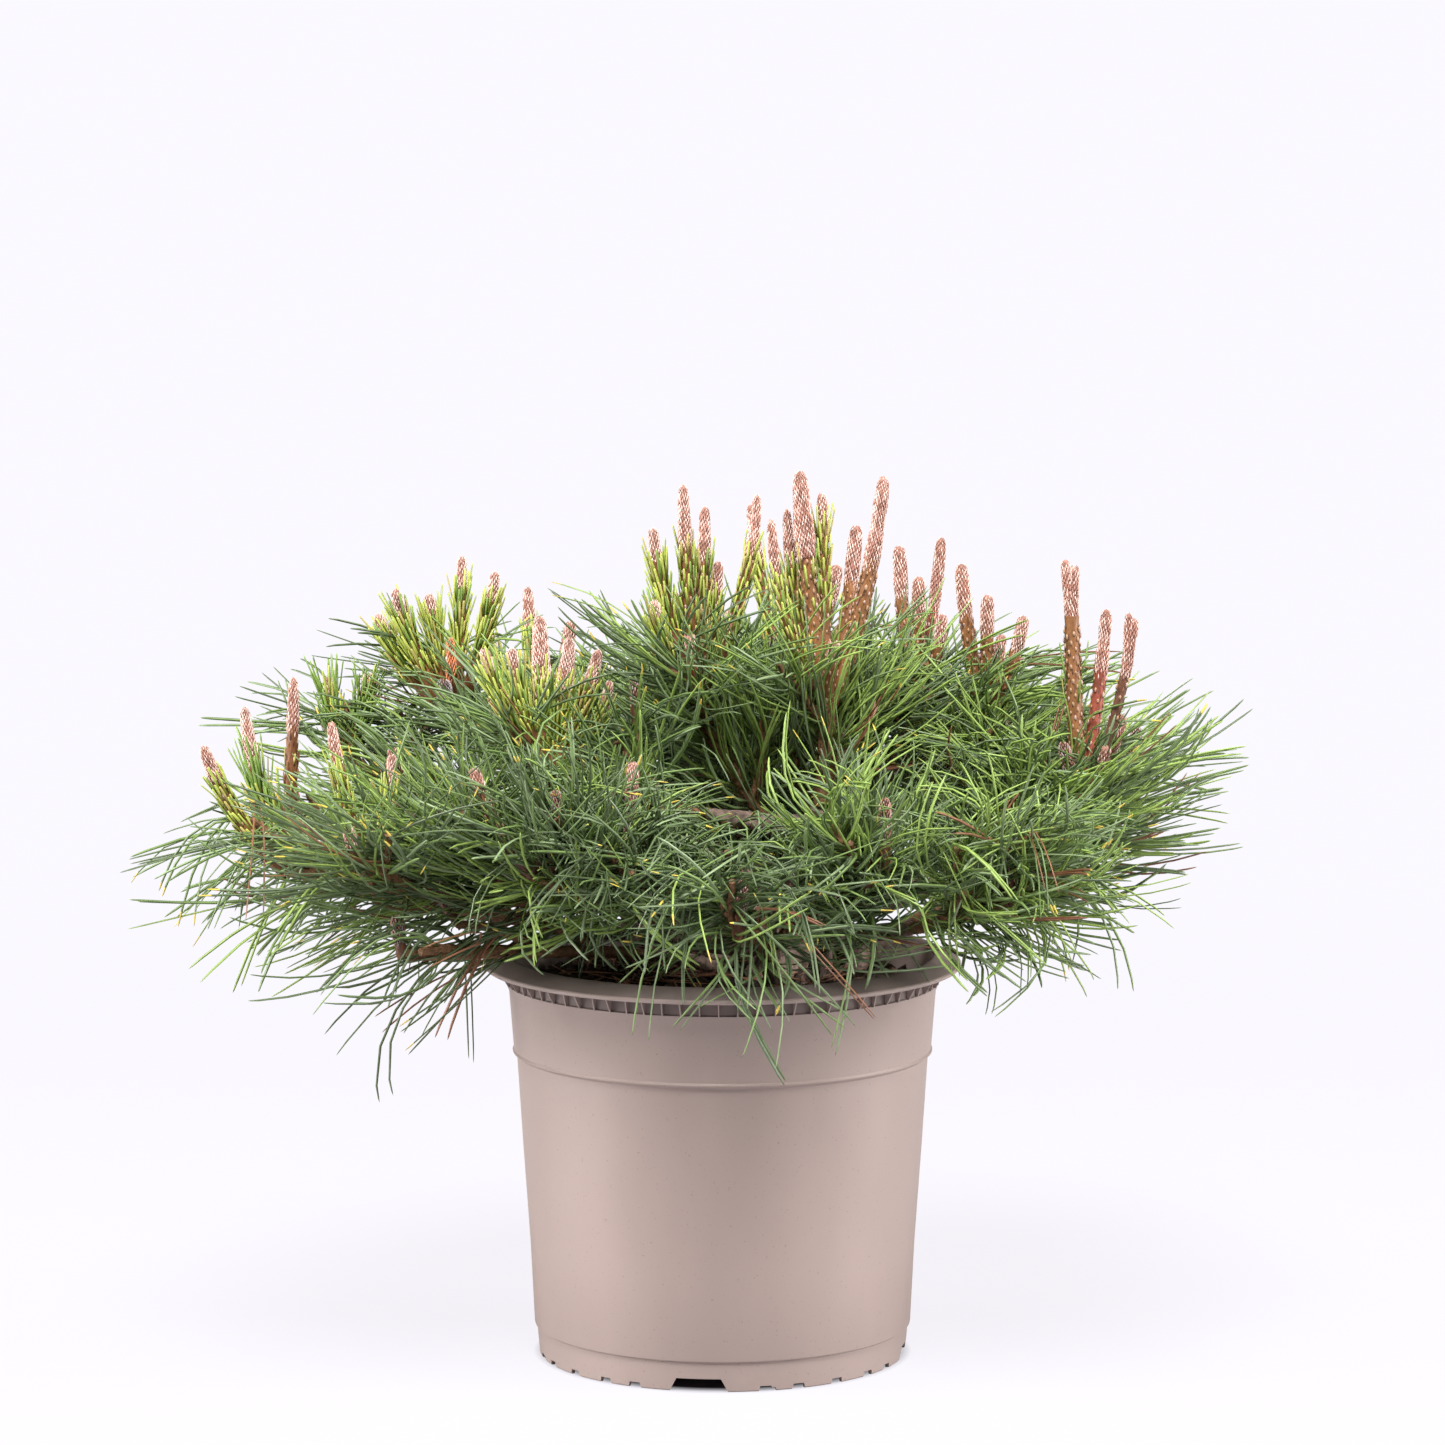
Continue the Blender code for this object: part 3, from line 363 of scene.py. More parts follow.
# A woolly top's radius at shares of its length, before its end closes
TOP_SHAPES = {"round": ((0, .25, .70, 1), (.84, 1, .93, .80)),
              "taper": ((0, .22, .85, 1), (.86, 1, .68, .60)),
              "step": ((0, .18, .46, .56, .70, 1), (.92, 1, .76, .74, .86, .66)),
              "lobes": ((0, .30, .90, 1), (.84, .92, 1, 1))}
# Candles shorter or longer than their line, by branch and number: 1 is the line's own length
GROWN = {("crown_top", 2): .42, ("crown_top", 3): .92, ("crown_top", 4): 1.08,
         ("upper_right", 2): .80, ("crown_left", 0): 1.22, ("crown_left", 1): .60,
         ("crown_left", 2): 1.06, ("crown_left", 3): 1.14, ("upper_left", 2): .88,
         ("back_right", 0): 1.26, ("back_right", 1): .84, ("right", 0): .45,
         ("right", 1): 1.20, ("right", 2): .84, ("right", 3): 1.26, ("centre_left", 4): .92}
# Candles beside a whorl's own: the branch, lean in degrees, length, depth and style
BESIDE = (("crown_top", -17, .094, -.010, "streaked"), ("crown_top", -12, .095, .012, "streaked"),
          ("crown_left", -24, .050, -.016, "tufted"), ("crown_left", 17, .098, .014, "streaked"),
          ("upper_left", -2, .040, -.014, "orange"), ("upper_left", -14, .020, -.018, "grey"),
          ("centre_left", 34, .052, .016, "streaked"), ("right", 20, .030, -.020, "rosy"),
          ("back_right", 16, .046, -.012, "plain"), ("far_left", -12, .040, .014, "bushy"))
LOBES = 3
LOBES_FROM = 0.90


# Settings

def length_setting(name, description, default):
    return FloatProperty(name=name, description=description, default=default, unit="LENGTH")


def colour_setting(name, description, default):
    return FloatVectorProperty(name=name, description=description, default=default,
                               subtype="COLOR", size=3, min=0, max=1)


class PotSettings(bpy.types.PropertyGroup):
    """Sizes and colour of the pot and its soil"""
    height: length_setting("Height", "From the ground to the top of the lip", 0.196)
    lip_radius: length_setting("Lip radius", "Outside of the lip", 0.115)
    foot_radius: length_setting("Foot radius", "Outside of the foot", 0.0888)
    pad_radius: length_setting("Pad radius", "Flat middle of the underside", 0.059)
    channel: length_setting("Channel height", "Raised ring round the pad", 0.0063)
    wall: length_setting("Wall", "Thickness of the pot's wall", 0.002)
    sides: IntProperty(name="Sides", description="Steps in a full turn of the pot", default=144)
    gussets: IntProperty(name="Gussets", description="Thin ribs under the lip", default=74)
    colour: colour_setting("Colour", "Moulded plastic", (0.345, 0.262, 0.233))
    soil_level: length_setting("Soil level", "Height of the soil at the stem", 0.184)
    soil_colour: colour_setting("Soil", "Damp peat and bark", (0.030, 0.021, 0.015))
    lumps: IntProperty(name="Lumps", description="Pieces of bark and peat", default=1100)


class WoodSettings(bpy.types.PropertyGroup):
    """Bark of the trunk, the boughs and the twigs"""
    bark: colour_setting("Bark", "Old bark", (0.165, 0.115, 0.090))
    young: colour_setting("Young bark", "Scaly bark of twigs", (0.30, 0.155, 0.075))
    relief: length_setting("Relief", "Depth of the cracks between plates", 0.0013)
    plate: length_setting("Plate", "Size of a plate of bark", 0.0075)
    ring: length_setting("Ring spacing", "Between the rings of a limb", 0.0022)


class CandleSettings(bpy.types.PropertyGroup):
    """Candles: the upright new shoots"""
    stoutness: FloatProperty(name="Stoutness", description="Scales every candle's girth",
                             default=1.08)
    strand: length_setting("Strand", "Length of a woolly strand", 0.0040)
    amber: colour_setting("Amber shaft", "Shaft of most candles", (0.255, 0.108, 0.038))
    russet: colour_setting("Russet shaft", "Shaft among new needles", (0.22, 0.085, 0.034))
    red: colour_setting("Red shaft", "Shaft of the reddest candles", (0.29, 0.065, 0.040))
    dark: colour_setting("Dark shaft", "Shaft of the oldest candles", (0.13, 0.052, 0.030))
    wool: colour_setting("Wool", "Palest strands", (0.74, 0.54, 0.47))
    pink: colour_setting("Pink", "Pink strands", (0.62, 0.40, 0.34))
    rose: colour_setting("Rose", "Darkest strands", (0.40, 0.20, 0.150))


class NeedleSettings(bpy.types.PropertyGroup):
    """Needles, in pairs all along the twigs"""
    width: length_setting("Width", "Across a needle's flat face", 0.0014)
    spacing: length_setting("Spacing", "Between one pair and the next", 0.00090)
    segments: IntProperty(name="Segments", description="Steps along a needle", default=7)
    deep: colour_setting("Deep", "Darkest needles", (0.092, 0.136, 0.052))
    mid: colour_setting("Mid", "Most needles", (0.155, 0.232, 0.070))
    bright: colour_setting("Bright", "Brightest needles", (0.265, 0.375, 0.090))
    inner: colour_setting("Inner face", "Greyish flat face of a needle", (0.225, 0.300, 0.150))
    tip: colour_setting("Tip", "Yellow tips", (0.62, 0.47, 0.080))
    new_width: length_setting("New width", "Across a new needle", 0.0014)
    new: colour_setting("New needles", "On the candles", (0.46, 0.52, 0.100))
    dead: colour_setting("Dead needles", "Shed on the soil", (0.24, 0.105, 0.055))


class StageSettings(bpy.types.PropertyGroup):
    """Floor, light and camera"""
    floor_radius: length_setting("Floor radius", "Of the pale floor", 9.0)
    backdrop: colour_setting("Backdrop", "Far floor and surroundings", (0.965, 0.950, 1.0))
    lens: FloatProperty(name="Lens", description="Focal length in millimetres", default=146.4)
    camera_back: length_setting("Camera distance", "In front of the pot", 2.800)
    camera_height: length_setting("Camera height", "Above the ground", 0.659)
    camera_pitch: FloatProperty(name="Camera pitch", description="Down from level",
                                default=math.radians(7.16), subtype="ANGLE")
    key: FloatProperty(name="Key light", description="Power of each large soft light",
                       default=135.0, unit="POWER")
    fill: FloatProperty(name="Fill", description="Brightness of the light from all round",
                        default=0.10)


# Meshes

def mesh_from(bm, name):
    """A mesh with a bmesh's faces. The bmesh is freed."""
    mesh = bpy.data.meshes.new(name)
    bm.to_mesh(mesh)
    bm.free()
    return mesh


def add_piece(name, mesh, finishes, replaced=(), smooth_below=None):
    """Links a finished mesh as one piece of the plant, on its body."""
    mesh.name = name
    for material in finishes:
        mesh.materials.append(material)
    if smooth_below:
        mesh.shade_smooth()
        mesh.set_sharp_from_angle(angle=math.radians(smooth_below))
    piece = bpy.data.objects.new(name, mesh)
    bpy.context.scene.collection.objects.link(piece)
    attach(piece, "root")
    if replaced:
        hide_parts(*replaced)
    return piece


def face_outwards(bm):
    """Turns every face of a closed body outwards."""
    bmesh.ops.recalc_face_normals(bm, faces=bm.faces)
    if bm.calc_volume(signed=True) < 0:
        bmesh.ops.reverse_faces(bm, faces=bm.faces)


def up(height):
    """A step straight up."""
    return Vector((0, 0, height))


def turned(profile, sides):
    """The closed body that a profile of (radius, height) points sweeps round the pot's axis."""
    bm = bmesh.new()
    line = [bm.verts.new((radius, 0.0, height)) for radius, height in profile]
    edges = [bm.edges.new(pair) for pair in zip(line, line[1:])]
    bmesh.ops.spin(bm, geom=line + edges, cent=(0, 0, 0), axis=(0, 0, 1), angle=2 * math.pi,
                   steps=sides, use_merge=True)
    bmesh.ops.remove_doubles(bm, verts=bm.verts, dist=1e-6)
    face_outwards(bm)
    return bm


def limb(points, radii, sides, slot=0):
    """A closed round limb along points, with a radius for each. A last radius of 0 is a tip."""
    bm = bmesh.new()
    points = [Vector(point) for point in points]
    heading = (points[1] - points[0]).normalized()
    bmesh.ops.create_circle(bm, cap_ends=True, segments=sides, radius=radii[0])
    facing = heading.to_track_quat("Z", "Y").to_matrix().to_4x4()
    bm.transform(Matrix.Translation(points[0]) @ facing)
    cap = list(bm.faces)[0]
    for k in range(1, len(points)):
        if radii[k] == 0:
            tip = bmesh.ops.poke(bm, faces=[cap])["verts"][0]
            tip.co = points[k]
            break
        at_end = k == len(points) - 1
        ahead = (points[k if at_end else k + 1] - points[k - 1]).normalized()
        turn = heading.rotation_difference(ahead)
        grown = bmesh.ops.extrude_face_region(bm, geom=[cap])["geom"]
        if k > 1:
            bmesh.ops.delete(bm, geom=[cap], context="FACES_ONLY")
        cap = next(item for item in grown if isinstance(item, bmesh.types.BMFace))
        for vert in cap.verts:
            vert.co = points[k] + (turn @ (vert.co - points[k - 1])) * (radii[k] / radii[k - 1])
        heading = ahead
    for face in bm.faces:
        face.material_index = slot
    face_outwards(bm)
    return bm


def gather(total, bm):
    """Moves one small bmesh into the bmesh of a whole piece."""
    mesh = mesh_from(bm, "part")
    total.from_mesh(mesh)
    bpy.data.meshes.remove(mesh)


def template(bm):
    """A small closed shape as arrays: its points and its triangles."""
    bmesh.ops.triangulate(bm, faces=bm.faces)
    face_outwards(bm)
    bm.verts.index_update()
    points = np.array([tuple(vert.co) for vert in bm.verts])
    faces = np.array([[vert.index for vert in face.verts] for face in bm.faces])
    bm.free()
    return points, faces


def mesh_of(name, points, faces, slots, smooth=True):
    """A mesh from its points, and faces given as arrays of triangles and of quads."""
    mesh = bpy.data.meshes.new(name)
    counts = np.concatenate([np.full(len(part), part.shape[1]) for part in faces])
    corners = np.concatenate([part.ravel() for part in faces]).astype(np.int32)
    starts = np.concatenate([[0], np.cumsum(counts)[:-1]]).astype(np.int32)
    mesh.vertices.add(len(points))
    mesh.vertices.foreach_set("co", points.astype(np.float32).ravel())
    mesh.loops.add(len(corners))
    mesh.loops.foreach_set("vertex_index", corners)
    mesh.polygons.add(len(counts))
    mesh.polygons.foreach_set("loop_start", starts)
    mesh.polygons.foreach_set("material_index", slots.astype(np.int32))
    mesh.polygons.foreach_set("use_smooth", np.full(len(counts), smooth))
    mesh.update(calc_edges=True)
    return mesh


class Scattered:
    """Many copies of one small shape, joined as one mesh."""

    def __init__(self, shape):
        self.points, self.faces = shape
        self.places, self.frames, self.sizes, self.slots = [], [], [], []

    def add(self, places, outs, alongs, sizes, slots):
        """Places copies with their own X outwards and Z along. Sizes are along X, Y and Z."""
        alongs = unit(alongs)
        sides = unit(np.cross(alongs, outs))
        outs = np.cross(sides, alongs)
        self.places.append(places)
        self.frames.append(np.stack([outs, sides, alongs], axis=1))
        self.sizes.append(np.broadcast_to(sizes, (len(places), 3)))
        self.slots.append(np.broadcast_to(slots, len(places)))

    def mesh(self, name, smooth=True):
        places, frames = np.concatenate(self.places), np.concatenate(self.frames)
        sizes, slots = np.concatenate(self.sizes), np.concatenate(self.slots)
        shaped = self.points[None] * sizes[:, None, :]
        points = np.einsum("nvk,nkj->nvj", shaped, frames) + places[:, None, :]
        faces = self.faces[None] + (np.arange(len(places)) * len(self.points))[:, None, None]
        return mesh_of(name, points.reshape(-1, 3), [faces.reshape(-1, 3)],
                       np.repeat(slots, len(self.faces)), smooth)


def unit(vectors):
    """Rows of vectors at length 1."""
    return vectors / np.maximum(np.linalg.norm(vectors, axis=-1, keepdims=True), 1e-12)


# Materials

def new_node(tree, kind, values=(), **settings):
    """A shader node with its settings, and values of its own sockets by name or number."""
    made = tree.nodes.new(f"ShaderNode{kind}")
    for name, setting in settings.items():
        setattr(made, name, setting)
    for socket, value in dict(values).items():
        made.inputs[socket].default_value = value
    return made


def wire(tree, *wires):
    """Links nodes: each wire is a node, its output, another node and its input."""
    for start, output, end, socket in wires:
        tree.links.new(start.outputs[output], end.inputs[socket])


def mottle_group():
    """Shared effect: a colour that drifts between two, and a height for a bump."""
    tree = bpy.data.node_groups.new("mottle", "ShaderNodeTree")
    for name, way, kind in (("Vector", "INPUT", "Vector"), ("First", "INPUT", "Color"),
                            ("Second", "INPUT", "Color"), ("Scale", "INPUT", "Float"),
                            ("Detail", "INPUT", "Float"), ("Contrast", "INPUT", "Float"),
                            ("Colour", "OUTPUT", "Color"), ("Height", "OUTPUT", "Float")):
        tree.interface.new_socket(name, in_out=way, socket_type=f"NodeSocket{kind}")
    given = tree.nodes.new("NodeGroupInput")
    made = tree.nodes.new("NodeGroupOutput")
    grain = new_node(tree, "TexNoise")
    centre = new_node(tree, "Math", {1: 0.5}, operation="SUBTRACT")
    spread = new_node(tree, "Math", {2: 0.5}, operation="MULTIPLY_ADD", use_clamp=True)
    mix = new_node(tree, "Mix", data_type="RGBA")
    wire(tree, (given, "Vector", grain, "Vector"), (given, "Scale", grain, "Scale"),
         (given, "Detail", grain, "Detail"), (grain, "Fac", centre, 0),
         (centre, "Value", spread, 0), (given, "Contrast", spread, 1),
         (spread, "Value", mix, "Factor"), (given, "First", mix, "A"),
         (given, "Second", mix, "B"), (mix, "Result", made, "Colour"),
         (spread, "Value", made, "Height"))


def shade(colour, factor):
    """A colour made lighter or darker."""
    return tuple(min(1.0, value * factor) for value in colour)


def finish(name, first, second, scale, roughness, bump=0.0, detail=4.0, contrast=2.0,
           grain=(1, 1, 1), specular=0.5):
    """A material mottled between two colours on Object coordinates, with a bump of that grain."""
    made = bpy.data.materials.new(name)
    made.use_nodes = True
    tree = made.node_tree
    shader = tree.nodes["Principled BSDF"]
    shader.inputs["Roughness"].default_value = roughness
    shader.inputs["Specular IOR Level"].default_value = specular
    where = new_node(tree, "TexCoord")
    place = new_node(tree, "Mapping", {"Scale": grain})
    mottled = new_node(tree, "Group", {"First": (*first, 1), "Second": (*second, 1),
                                       "Scale": scale, "Detail": detail, "Contrast": contrast},
                       node_tree=bpy.data.node_groups["mottle"])
    wire(tree, (where, "Object", place, "Vector"), (place, "Vector", mottled, "Vector"),
         (mottled, "Colour", shader, "Base Color"))
    if bump:
        raised = new_node(tree, "Bump", {"Strength": bump, "Distance": 0.001})
        wire(tree, (mottled, "Height", raised, "Height"), (raised, "Normal", shader, "Normal"))
    return made


def toned(name, colour, low, high, scale, roughness, **more):
    """A finish mottled between a darker and a lighter tone of one colour."""
    return finish(name, shade(colour, low), shade(colour, high), scale, roughness, **more)


def pot_finish(pot):
    """Moulded plastic: faint clouds and upright smears, tiny specks, and a fine grain."""
    made = toned("pot_plastic", pot.colour, 0.93, 1.06, 22.0, 0.46, bump=0.05, detail=6.0,
                 contrast=1.6, grain=SMEARED)
    tree = made.node_tree
    shader = tree.nodes["Principled BSDF"]
    mottled = next(node for node in tree.nodes if node.type == "GROUP")
    where = next(node for node in tree.nodes if node.type == "TEX_COORD")
    specks = new_node(tree, "TexNoise", {"Scale": 900.0, "Detail": 1.0})
    chosen = new_node(tree, "MapRange", {"From Min": 0.70, "From Max": 0.78, "To Max": 0.55})
    mix = new_node(tree, "Mix", {"B": (*shade(pot.colour, 0.42), 1)}, data_type="RGBA")
    worn = new_node(tree, "MapRange", {"To Min": 0.40, "To Max": 0.54})
    wire(tree, (where, "Object", specks, "Vector"), (specks, "Fac", chosen, "Value"),
         (chosen, "Result", mix, "Factor"), (mottled, "Colour", mix, "A"),
         (mix, "Result", shader, "Base Color"), (mottled, "Height", worn, "Value"),
         (worn, "Result", shader, "Roughness"))
    return made


# Pot and soil

def pot_profile(pot):
    """Pad, channel, foot, wall, collar and lip outside, then the inside back down to the axis."""
    inner_foot = pot.foot_radius - pot.wall
    floor = pot.channel + pot.wall
    outside = [
        (0.0, 0.0), (pot.pad_radius, 0.0), (pot.pad_radius + 0.004, pot.channel),
        (inner_foot, pot.channel), (inner_foot, 0.0), (pot.foot_radius - 0.0005, 0.0),
        (pot.foot_radius, 0.0005), (0.0900, 0.0142), (0.0910, 0.0149), (0.0912, 0.0156),
        (0.0931, 0.0545), (0.0963, 0.1000), (0.0993, 0.1470), (0.1008, 0.1480),
        (0.1013, 0.1485), (0.1014, 0.1490), (0.1008, 0.1500), (0.1030, 0.1782), (0.1043, 0.1815),
        (0.1045, 0.1822), (0.1036, 0.1828), (0.1040, 0.1928), (0.1044, 0.1931),
        (pot.lip_radius - 0.0014, 0.1900), (pot.lip_radius - 0.0004, 0.1896),
        (pot.lip_radius, 0.1901), (pot.lip_radius, 0.1912), (pot.lip_radius - 0.0005, 0.1918),
    ]
    inside = [
        (0.1052, pot.height - 0.0001), (0.1046, pot.height), (0.1030, pot.height - 0.0001),
        (0.1022, pot.height - 0.0006), (0.1018, pot.height - 0.0020), (0.0972, 0.1470),
        (0.0943, 0.1000), (0.0892, floor), (pot.pad_radius + 0.003, floor),
        (pot.pad_radius - 0.001, pot.wall), (0.0, pot.wall),
    ]
    return outside + inside


def notch(turn, widths, height, pot):
    """A cutter through the foot: a wedge as wide as widths at the ground and at its top."""
    low, high = widths[0] / 2, widths[1] / 2
    bm = bmesh.new()
    bmesh.ops.create_cube(bm, size=2.0)
    for vert in bm.verts:
        at_top = vert.co.z > 0
        vert.co = Vector((pot.foot_radius + 2 * NOTCH_DEPTH * vert.co.x,
                          math.copysign(high if at_top else low, vert.co.y),
                          height if at_top else -pot.wall))
    bm.transform(Matrix.Rotation(math.radians(turn), 4, "Z"))
    face_outwards(bm)
    return bm


def pot_cutters(pot):
    """Notches through the foot, an uneven nick or two beside them, and the drain holes."""
    made = []
    width, height = SMALL_NOTCH_SIZE
    low, high, tall = NICK_SHARES
    for quarter in range(BIG_NOTCHES):
        start = BIG_NOTCH_TURN + quarter * 360 / BIG_NOTCHES
        made.append(notch(start, BIG_NOTCH_WIDTH, pot.channel, pot))
        for offset in SMALL_NOTCH_TURNS:
            made.append(notch(start + offset, (width, width * SMALL_NOTCH_NARROWS), height, pot))
        made.append(notch(start + NICK_TURN, (width * low, width * high), height * tall, pot))
    for number in range(DRAIN_HOLES):
        turn = BIG_NOTCH_TURN + (number + 0.5) * 360 / DRAIN_HOLES
        bm = bmesh.new()
        place = Matrix.Rotation(math.radians(turn), 4, "Z") @ Matrix.Translation(
            (DRAIN_CIRCLE, 0, pot.channel + pot.wall / 2))
        bmesh.ops.create_cone(bm, cap_ends=True, segments=24, radius1=DRAIN_RADIUS,
                              radius2=DRAIN_RADIUS, depth=3 * pot.wall, matrix=place)
        made.append(bm)
    return made


def cut_by(mesh, cutters):
    """A mesh less all its cutters, by one Boolean on their collection."""
    body = bpy.data.objects.new("body", mesh)
    bpy.context.scene.collection.objects.link(body)
    held = bpy.data.collections.new("cutters")
    bpy.context.scene.collection.children.link(held)
    pieces = [bpy.data.objects.new("cutter", mesh_from(bm, "cutter")) for bm in cutters]
    for piece in pieces:
        held.objects.link(piece)
    cut = body.modifiers.new("cut", "BOOLEAN")
    cut.operation = "DIFFERENCE"
    cut.operand_type = "COLLECTION"
    cut.collection = held
    depsgraph = bpy.context.evaluated_depsgraph_get()
    made = bpy.data.meshes.new_from_object(body.evaluated_get(depsgraph))
    for piece in pieces + [body]:
        bpy.data.objects.remove(piece, do_unlink=True)
    bpy.data.collections.remove(held)
    return made


class MUGO_OT_pot(bpy.types.Operator):
    """The nursery pot: turned wall, lip with gussets, notched foot and drain holes"""
    bl_idname = "mugo.pot"
    bl_label = "Pot"

    def execute(self, context):
        pot = context.scene.mugo_pot
        wall = mesh_from(turned(pot_profile(pot), pot.sides), "pot")
        bm = bmesh.new()
        bm.from_mesh(cut_by(wall, pot_cutters(pot)))
        # Faces of the lip and the band under it take slot 1, a darker plastic that is painted shade.
        for face in bm.faces:
            place = face.calc_center_median()
            if place.z > PAINTED_SHADE_ABOVE and place.xy.length < pot.lip_radius - PAINTED_SHADE_WITHIN:
                face.material_index = 1
        for number in range(pot.gussets):
            rib = bmesh.new()
            bmesh.ops.create_cube(rib, size=1.0)
            reach = pot.lip_radius - GUSSETS_STOP[number % 2]
            for vert in rib.verts:
                at_top, outside = vert.co.z > 0, vert.co.x > 0
                radius = reach if at_top and outside else GUSSET_FOOT[outside]
                vert.co = Vector((radius, vert.co.y * GUSSET_THICKNESS, GUSSET_HEIGHTS[at_top]))
            rib.transform(Matrix.Rotation(2 * math.pi * (number + 0.3) / pot.gussets, 4, "Z"))
            gather(bm, rib)
        # Slot 1's darker plastic is painted shade on the lip and the band under it.
        painted_shade = toned("pot_dusty", pot.colour, 0.46, 0.62, 60.0, 0.7, grain=SMEARED)
        add_piece("pot_dressed", mesh_from(bm, "pot"), [pot_finish(pot), painted_shade],
                  replaced=["pot"], smooth_below=28)
        return {"FINISHED"}


def strewn(rng, count, reach):
    """Places all over a round bed: their radius from its middle, and their X and Y."""
    radius = reach * np.sqrt(rng.random(count))
    turn = 2 * math.pi * rng.random(count)
    return radius, (radius * np.cos(turn), radius * np.sin(turn))


class MUGO_OT_soil(bpy.types.Operator):
    """Uneven soil below the rim, strewn with lumps of bark and peat"""
    bl_idname = "mugo.soil"
    bl_label = "Soil"

    def execute(self, context):
        pot = context.scene.mugo_pot
        level = pot.soil_level
        floor = pot.channel + pot.wall + GAP
        rings, dip = SOIL_DIPS
        top = [(SOIL_RADIUS * (1 - k / SOIL_RINGS), level - dip * max(0, 1 - k / rings) ** 2)
               for k in range(SOIL_RINGS + 1)]
        side = [(SOIL_FOOT - GAP, floor)] + [(radius - GAP, height) for radius, height in SOIL_WALL]
        bm = turned([(0.0, floor)] + side + top, 120)
        for vert in bm.verts:
            if vert.co.z > level - 0.006:
                rough = noise.fractal(vert.co * 160, 0.9, 2.1, 5)
                vert.co.z += 0.0022 * rough + 0.0012 * noise.noise(vert.co * 40)
        ground = mesh_from(bm, "soil")
        finishes = [
            toned("soil_peat", pot.soil_colour, 0.6, 1.6, 260.0, 0.92, bump=0.9, detail=8.0,
                  contrast=3.0, specular=0.3),
            finish("soil_bark", (0.070, 0.042, 0.028), (0.135, 0.085, 0.055), 180.0, 0.85,
                   bump=0.7, contrast=3.0, specular=0.3),
            finish("soil_fibre", (0.030, 0.022, 0.018), (0.085, 0.060, 0.042), 320.0, 0.9,
                   bump=0.6, contrast=3.0, specular=0.3),
        ]
        add_piece("soil_ground", ground, finishes[:1], replaced=["soil"])
        rng = np.random.default_rng(SEEDS["lumps"])
        lump = bmesh.new()
        bmesh.ops.create_icosphere(lump, subdivisions=1, radius=0.5)
        for vert in lump.verts:
            vert.co *= 1 + 0.35 * noise.noise(vert.co * 3 + Vector((4, 0, 0)))
        lumps = Scattered(template(lump))
        count = pot.lumps
        radius, across = strewn(rng, count, LUMP_REACH)
        sunk = np.where(radius > LUMPS_SINK_FROM,
                        0.004 * ((radius - LUMPS_SINK_FROM) / 0.025) ** 2, 0)
        places = np.stack([*across, level + 0.0005 - sunk + 0.001 * rng.random(count)], axis=1)
        outs = rng.normal(size=(count, 3))
        alongs = rng.normal(size=(count, 3)) * (1, 1, 0.4)
        big = rng.random(count) ** 3
        sizes = (0.0018 + 0.0065 * big[:, None]) * np.stack(
            [0.35 + 0.4 * rng.random(count), 0.6 + 0.5 * rng.random(count),
             0.9 + 0.8 * rng.random(count)], axis=1)
        lumps.add(places, outs, alongs, sizes, rng.integers(0, 3, count))
        add_piece("soil_lumps", lumps.mesh("soil_lumps", smooth=False), finishes)
        return {"FINISHED"}


# Growth, by the part's rule

def curve_point(ends, t):
    """A point of a curve given by its start, middle and end."""
    start, middle, end = ends
    return start * (1 - t) ** 2 + middle * 2 * t * (1 - t) + end * t ** 2


def part_of(ends, share):
    """The first part of a curve, as a curve of its own."""
    start, middle, _end = ends
    return start, start.lerp(middle, share), curve_point(ends, share)


def curve_speed(ends, t):
    """The way a curve goes at one share of it."""
    start, middle, end = ends
    return (middle - start) * 2 * (1 - t) + (end - middle) * 2 * t


def stretch(ends, first, last, count):
    """Even points of a curve between two shares."""
    return [curve_point(ends, first + (last - first) * k / count) for k in range(count + 1)]


def curve_length(ends):
    line = stretch(ends, 0, 1, 12)
    return sum((b - a).length for a, b in zip(line, line[1:]))


def trunk_foot(context):
    """Where the trunk leaves the soil."""
    return Vector((*TRUNK_FOOT, context.scene.mugo_pot.soil_level + GAP))


def trunk_point(foot, share):
    """A point of the bowed trunk's middle line."""
    return foot.lerp(TRUNK_TOP, share) + TRUNK_BOW * (4 * share * (1 - share))


def whorl_place(branch):
    """Where a branch ends and its candles start."""
    turn = math.radians(branch.turn)
    return Vector((branch.reach * math.cos(turn), branch.reach * math.sin(turn), branch.height))


def branch_curve(branch, foot):
    """Start, middle and end of a branch, and its root's place in the trunk or soil."""
    whorl = whorl_place(branch)
    if branch.tier == FROM_SOIL:
        away = Vector((whorl.x - foot.x, whorl.y - foot.y, 0)).normalized()
        start = foot + away * SUCKER_REACH
        return (start, start + up(SUCKER_RISE), whorl), start - up(ROOT_SINK)
    if branch.tier == FROM_TOP:
        aim = (whorl - TRUNK_TOP).normalized()
        start = TRUNK_TOP + aim * (GAP + TRUNK_RADII[-1] * TOP_TILT)
        return (start, start.lerp(whorl, 0.5), whorl), TRUNK_TOP - aim * TOP_SINK
    joint = LOWEST_JOINT + branch.tier * TIER_STEP
    share = (joint - foot.z) / (TRUNK_TOP.z - foot.z)
    root = trunk_point(foot, share)
    across = Vector((whorl.x - root.x, whorl.y - root.y, 0))
    middle = root + across * BEND_REACH + up((whorl.z - root.z) * BEND_RISE)
    heading = (middle - root).normalized()
    skin = float(np.interp(share, TRUNK_RINGS, TRUNK_RADII))
    start = root + heading * (skin + branch.girth * abs(heading.z)) / max(0.3, heading.xy.length)
    return (start, middle, whorl), root


def girth_at(branch, share):
    """A branch's radius at a share of its curve."""
    if branch.bare == 0:
        return branch.girth + (WHORL_GIRTH - branch.girth) * share
    return float(np.interp(share, (0, branch.bare, 1),
                           (branch.girth, branch.girth * TIP_GIRTH, WHORL_GIRTH)))


def leaning(whorl, lean, length, depth):
    """A candle's tip, which leans by degrees towards +X and stands depth behind its whorl."""
    lean = math.radians(lean)
    return whorl + Vector((math.sin(lean) * length, depth, math.cos(lean) * length))


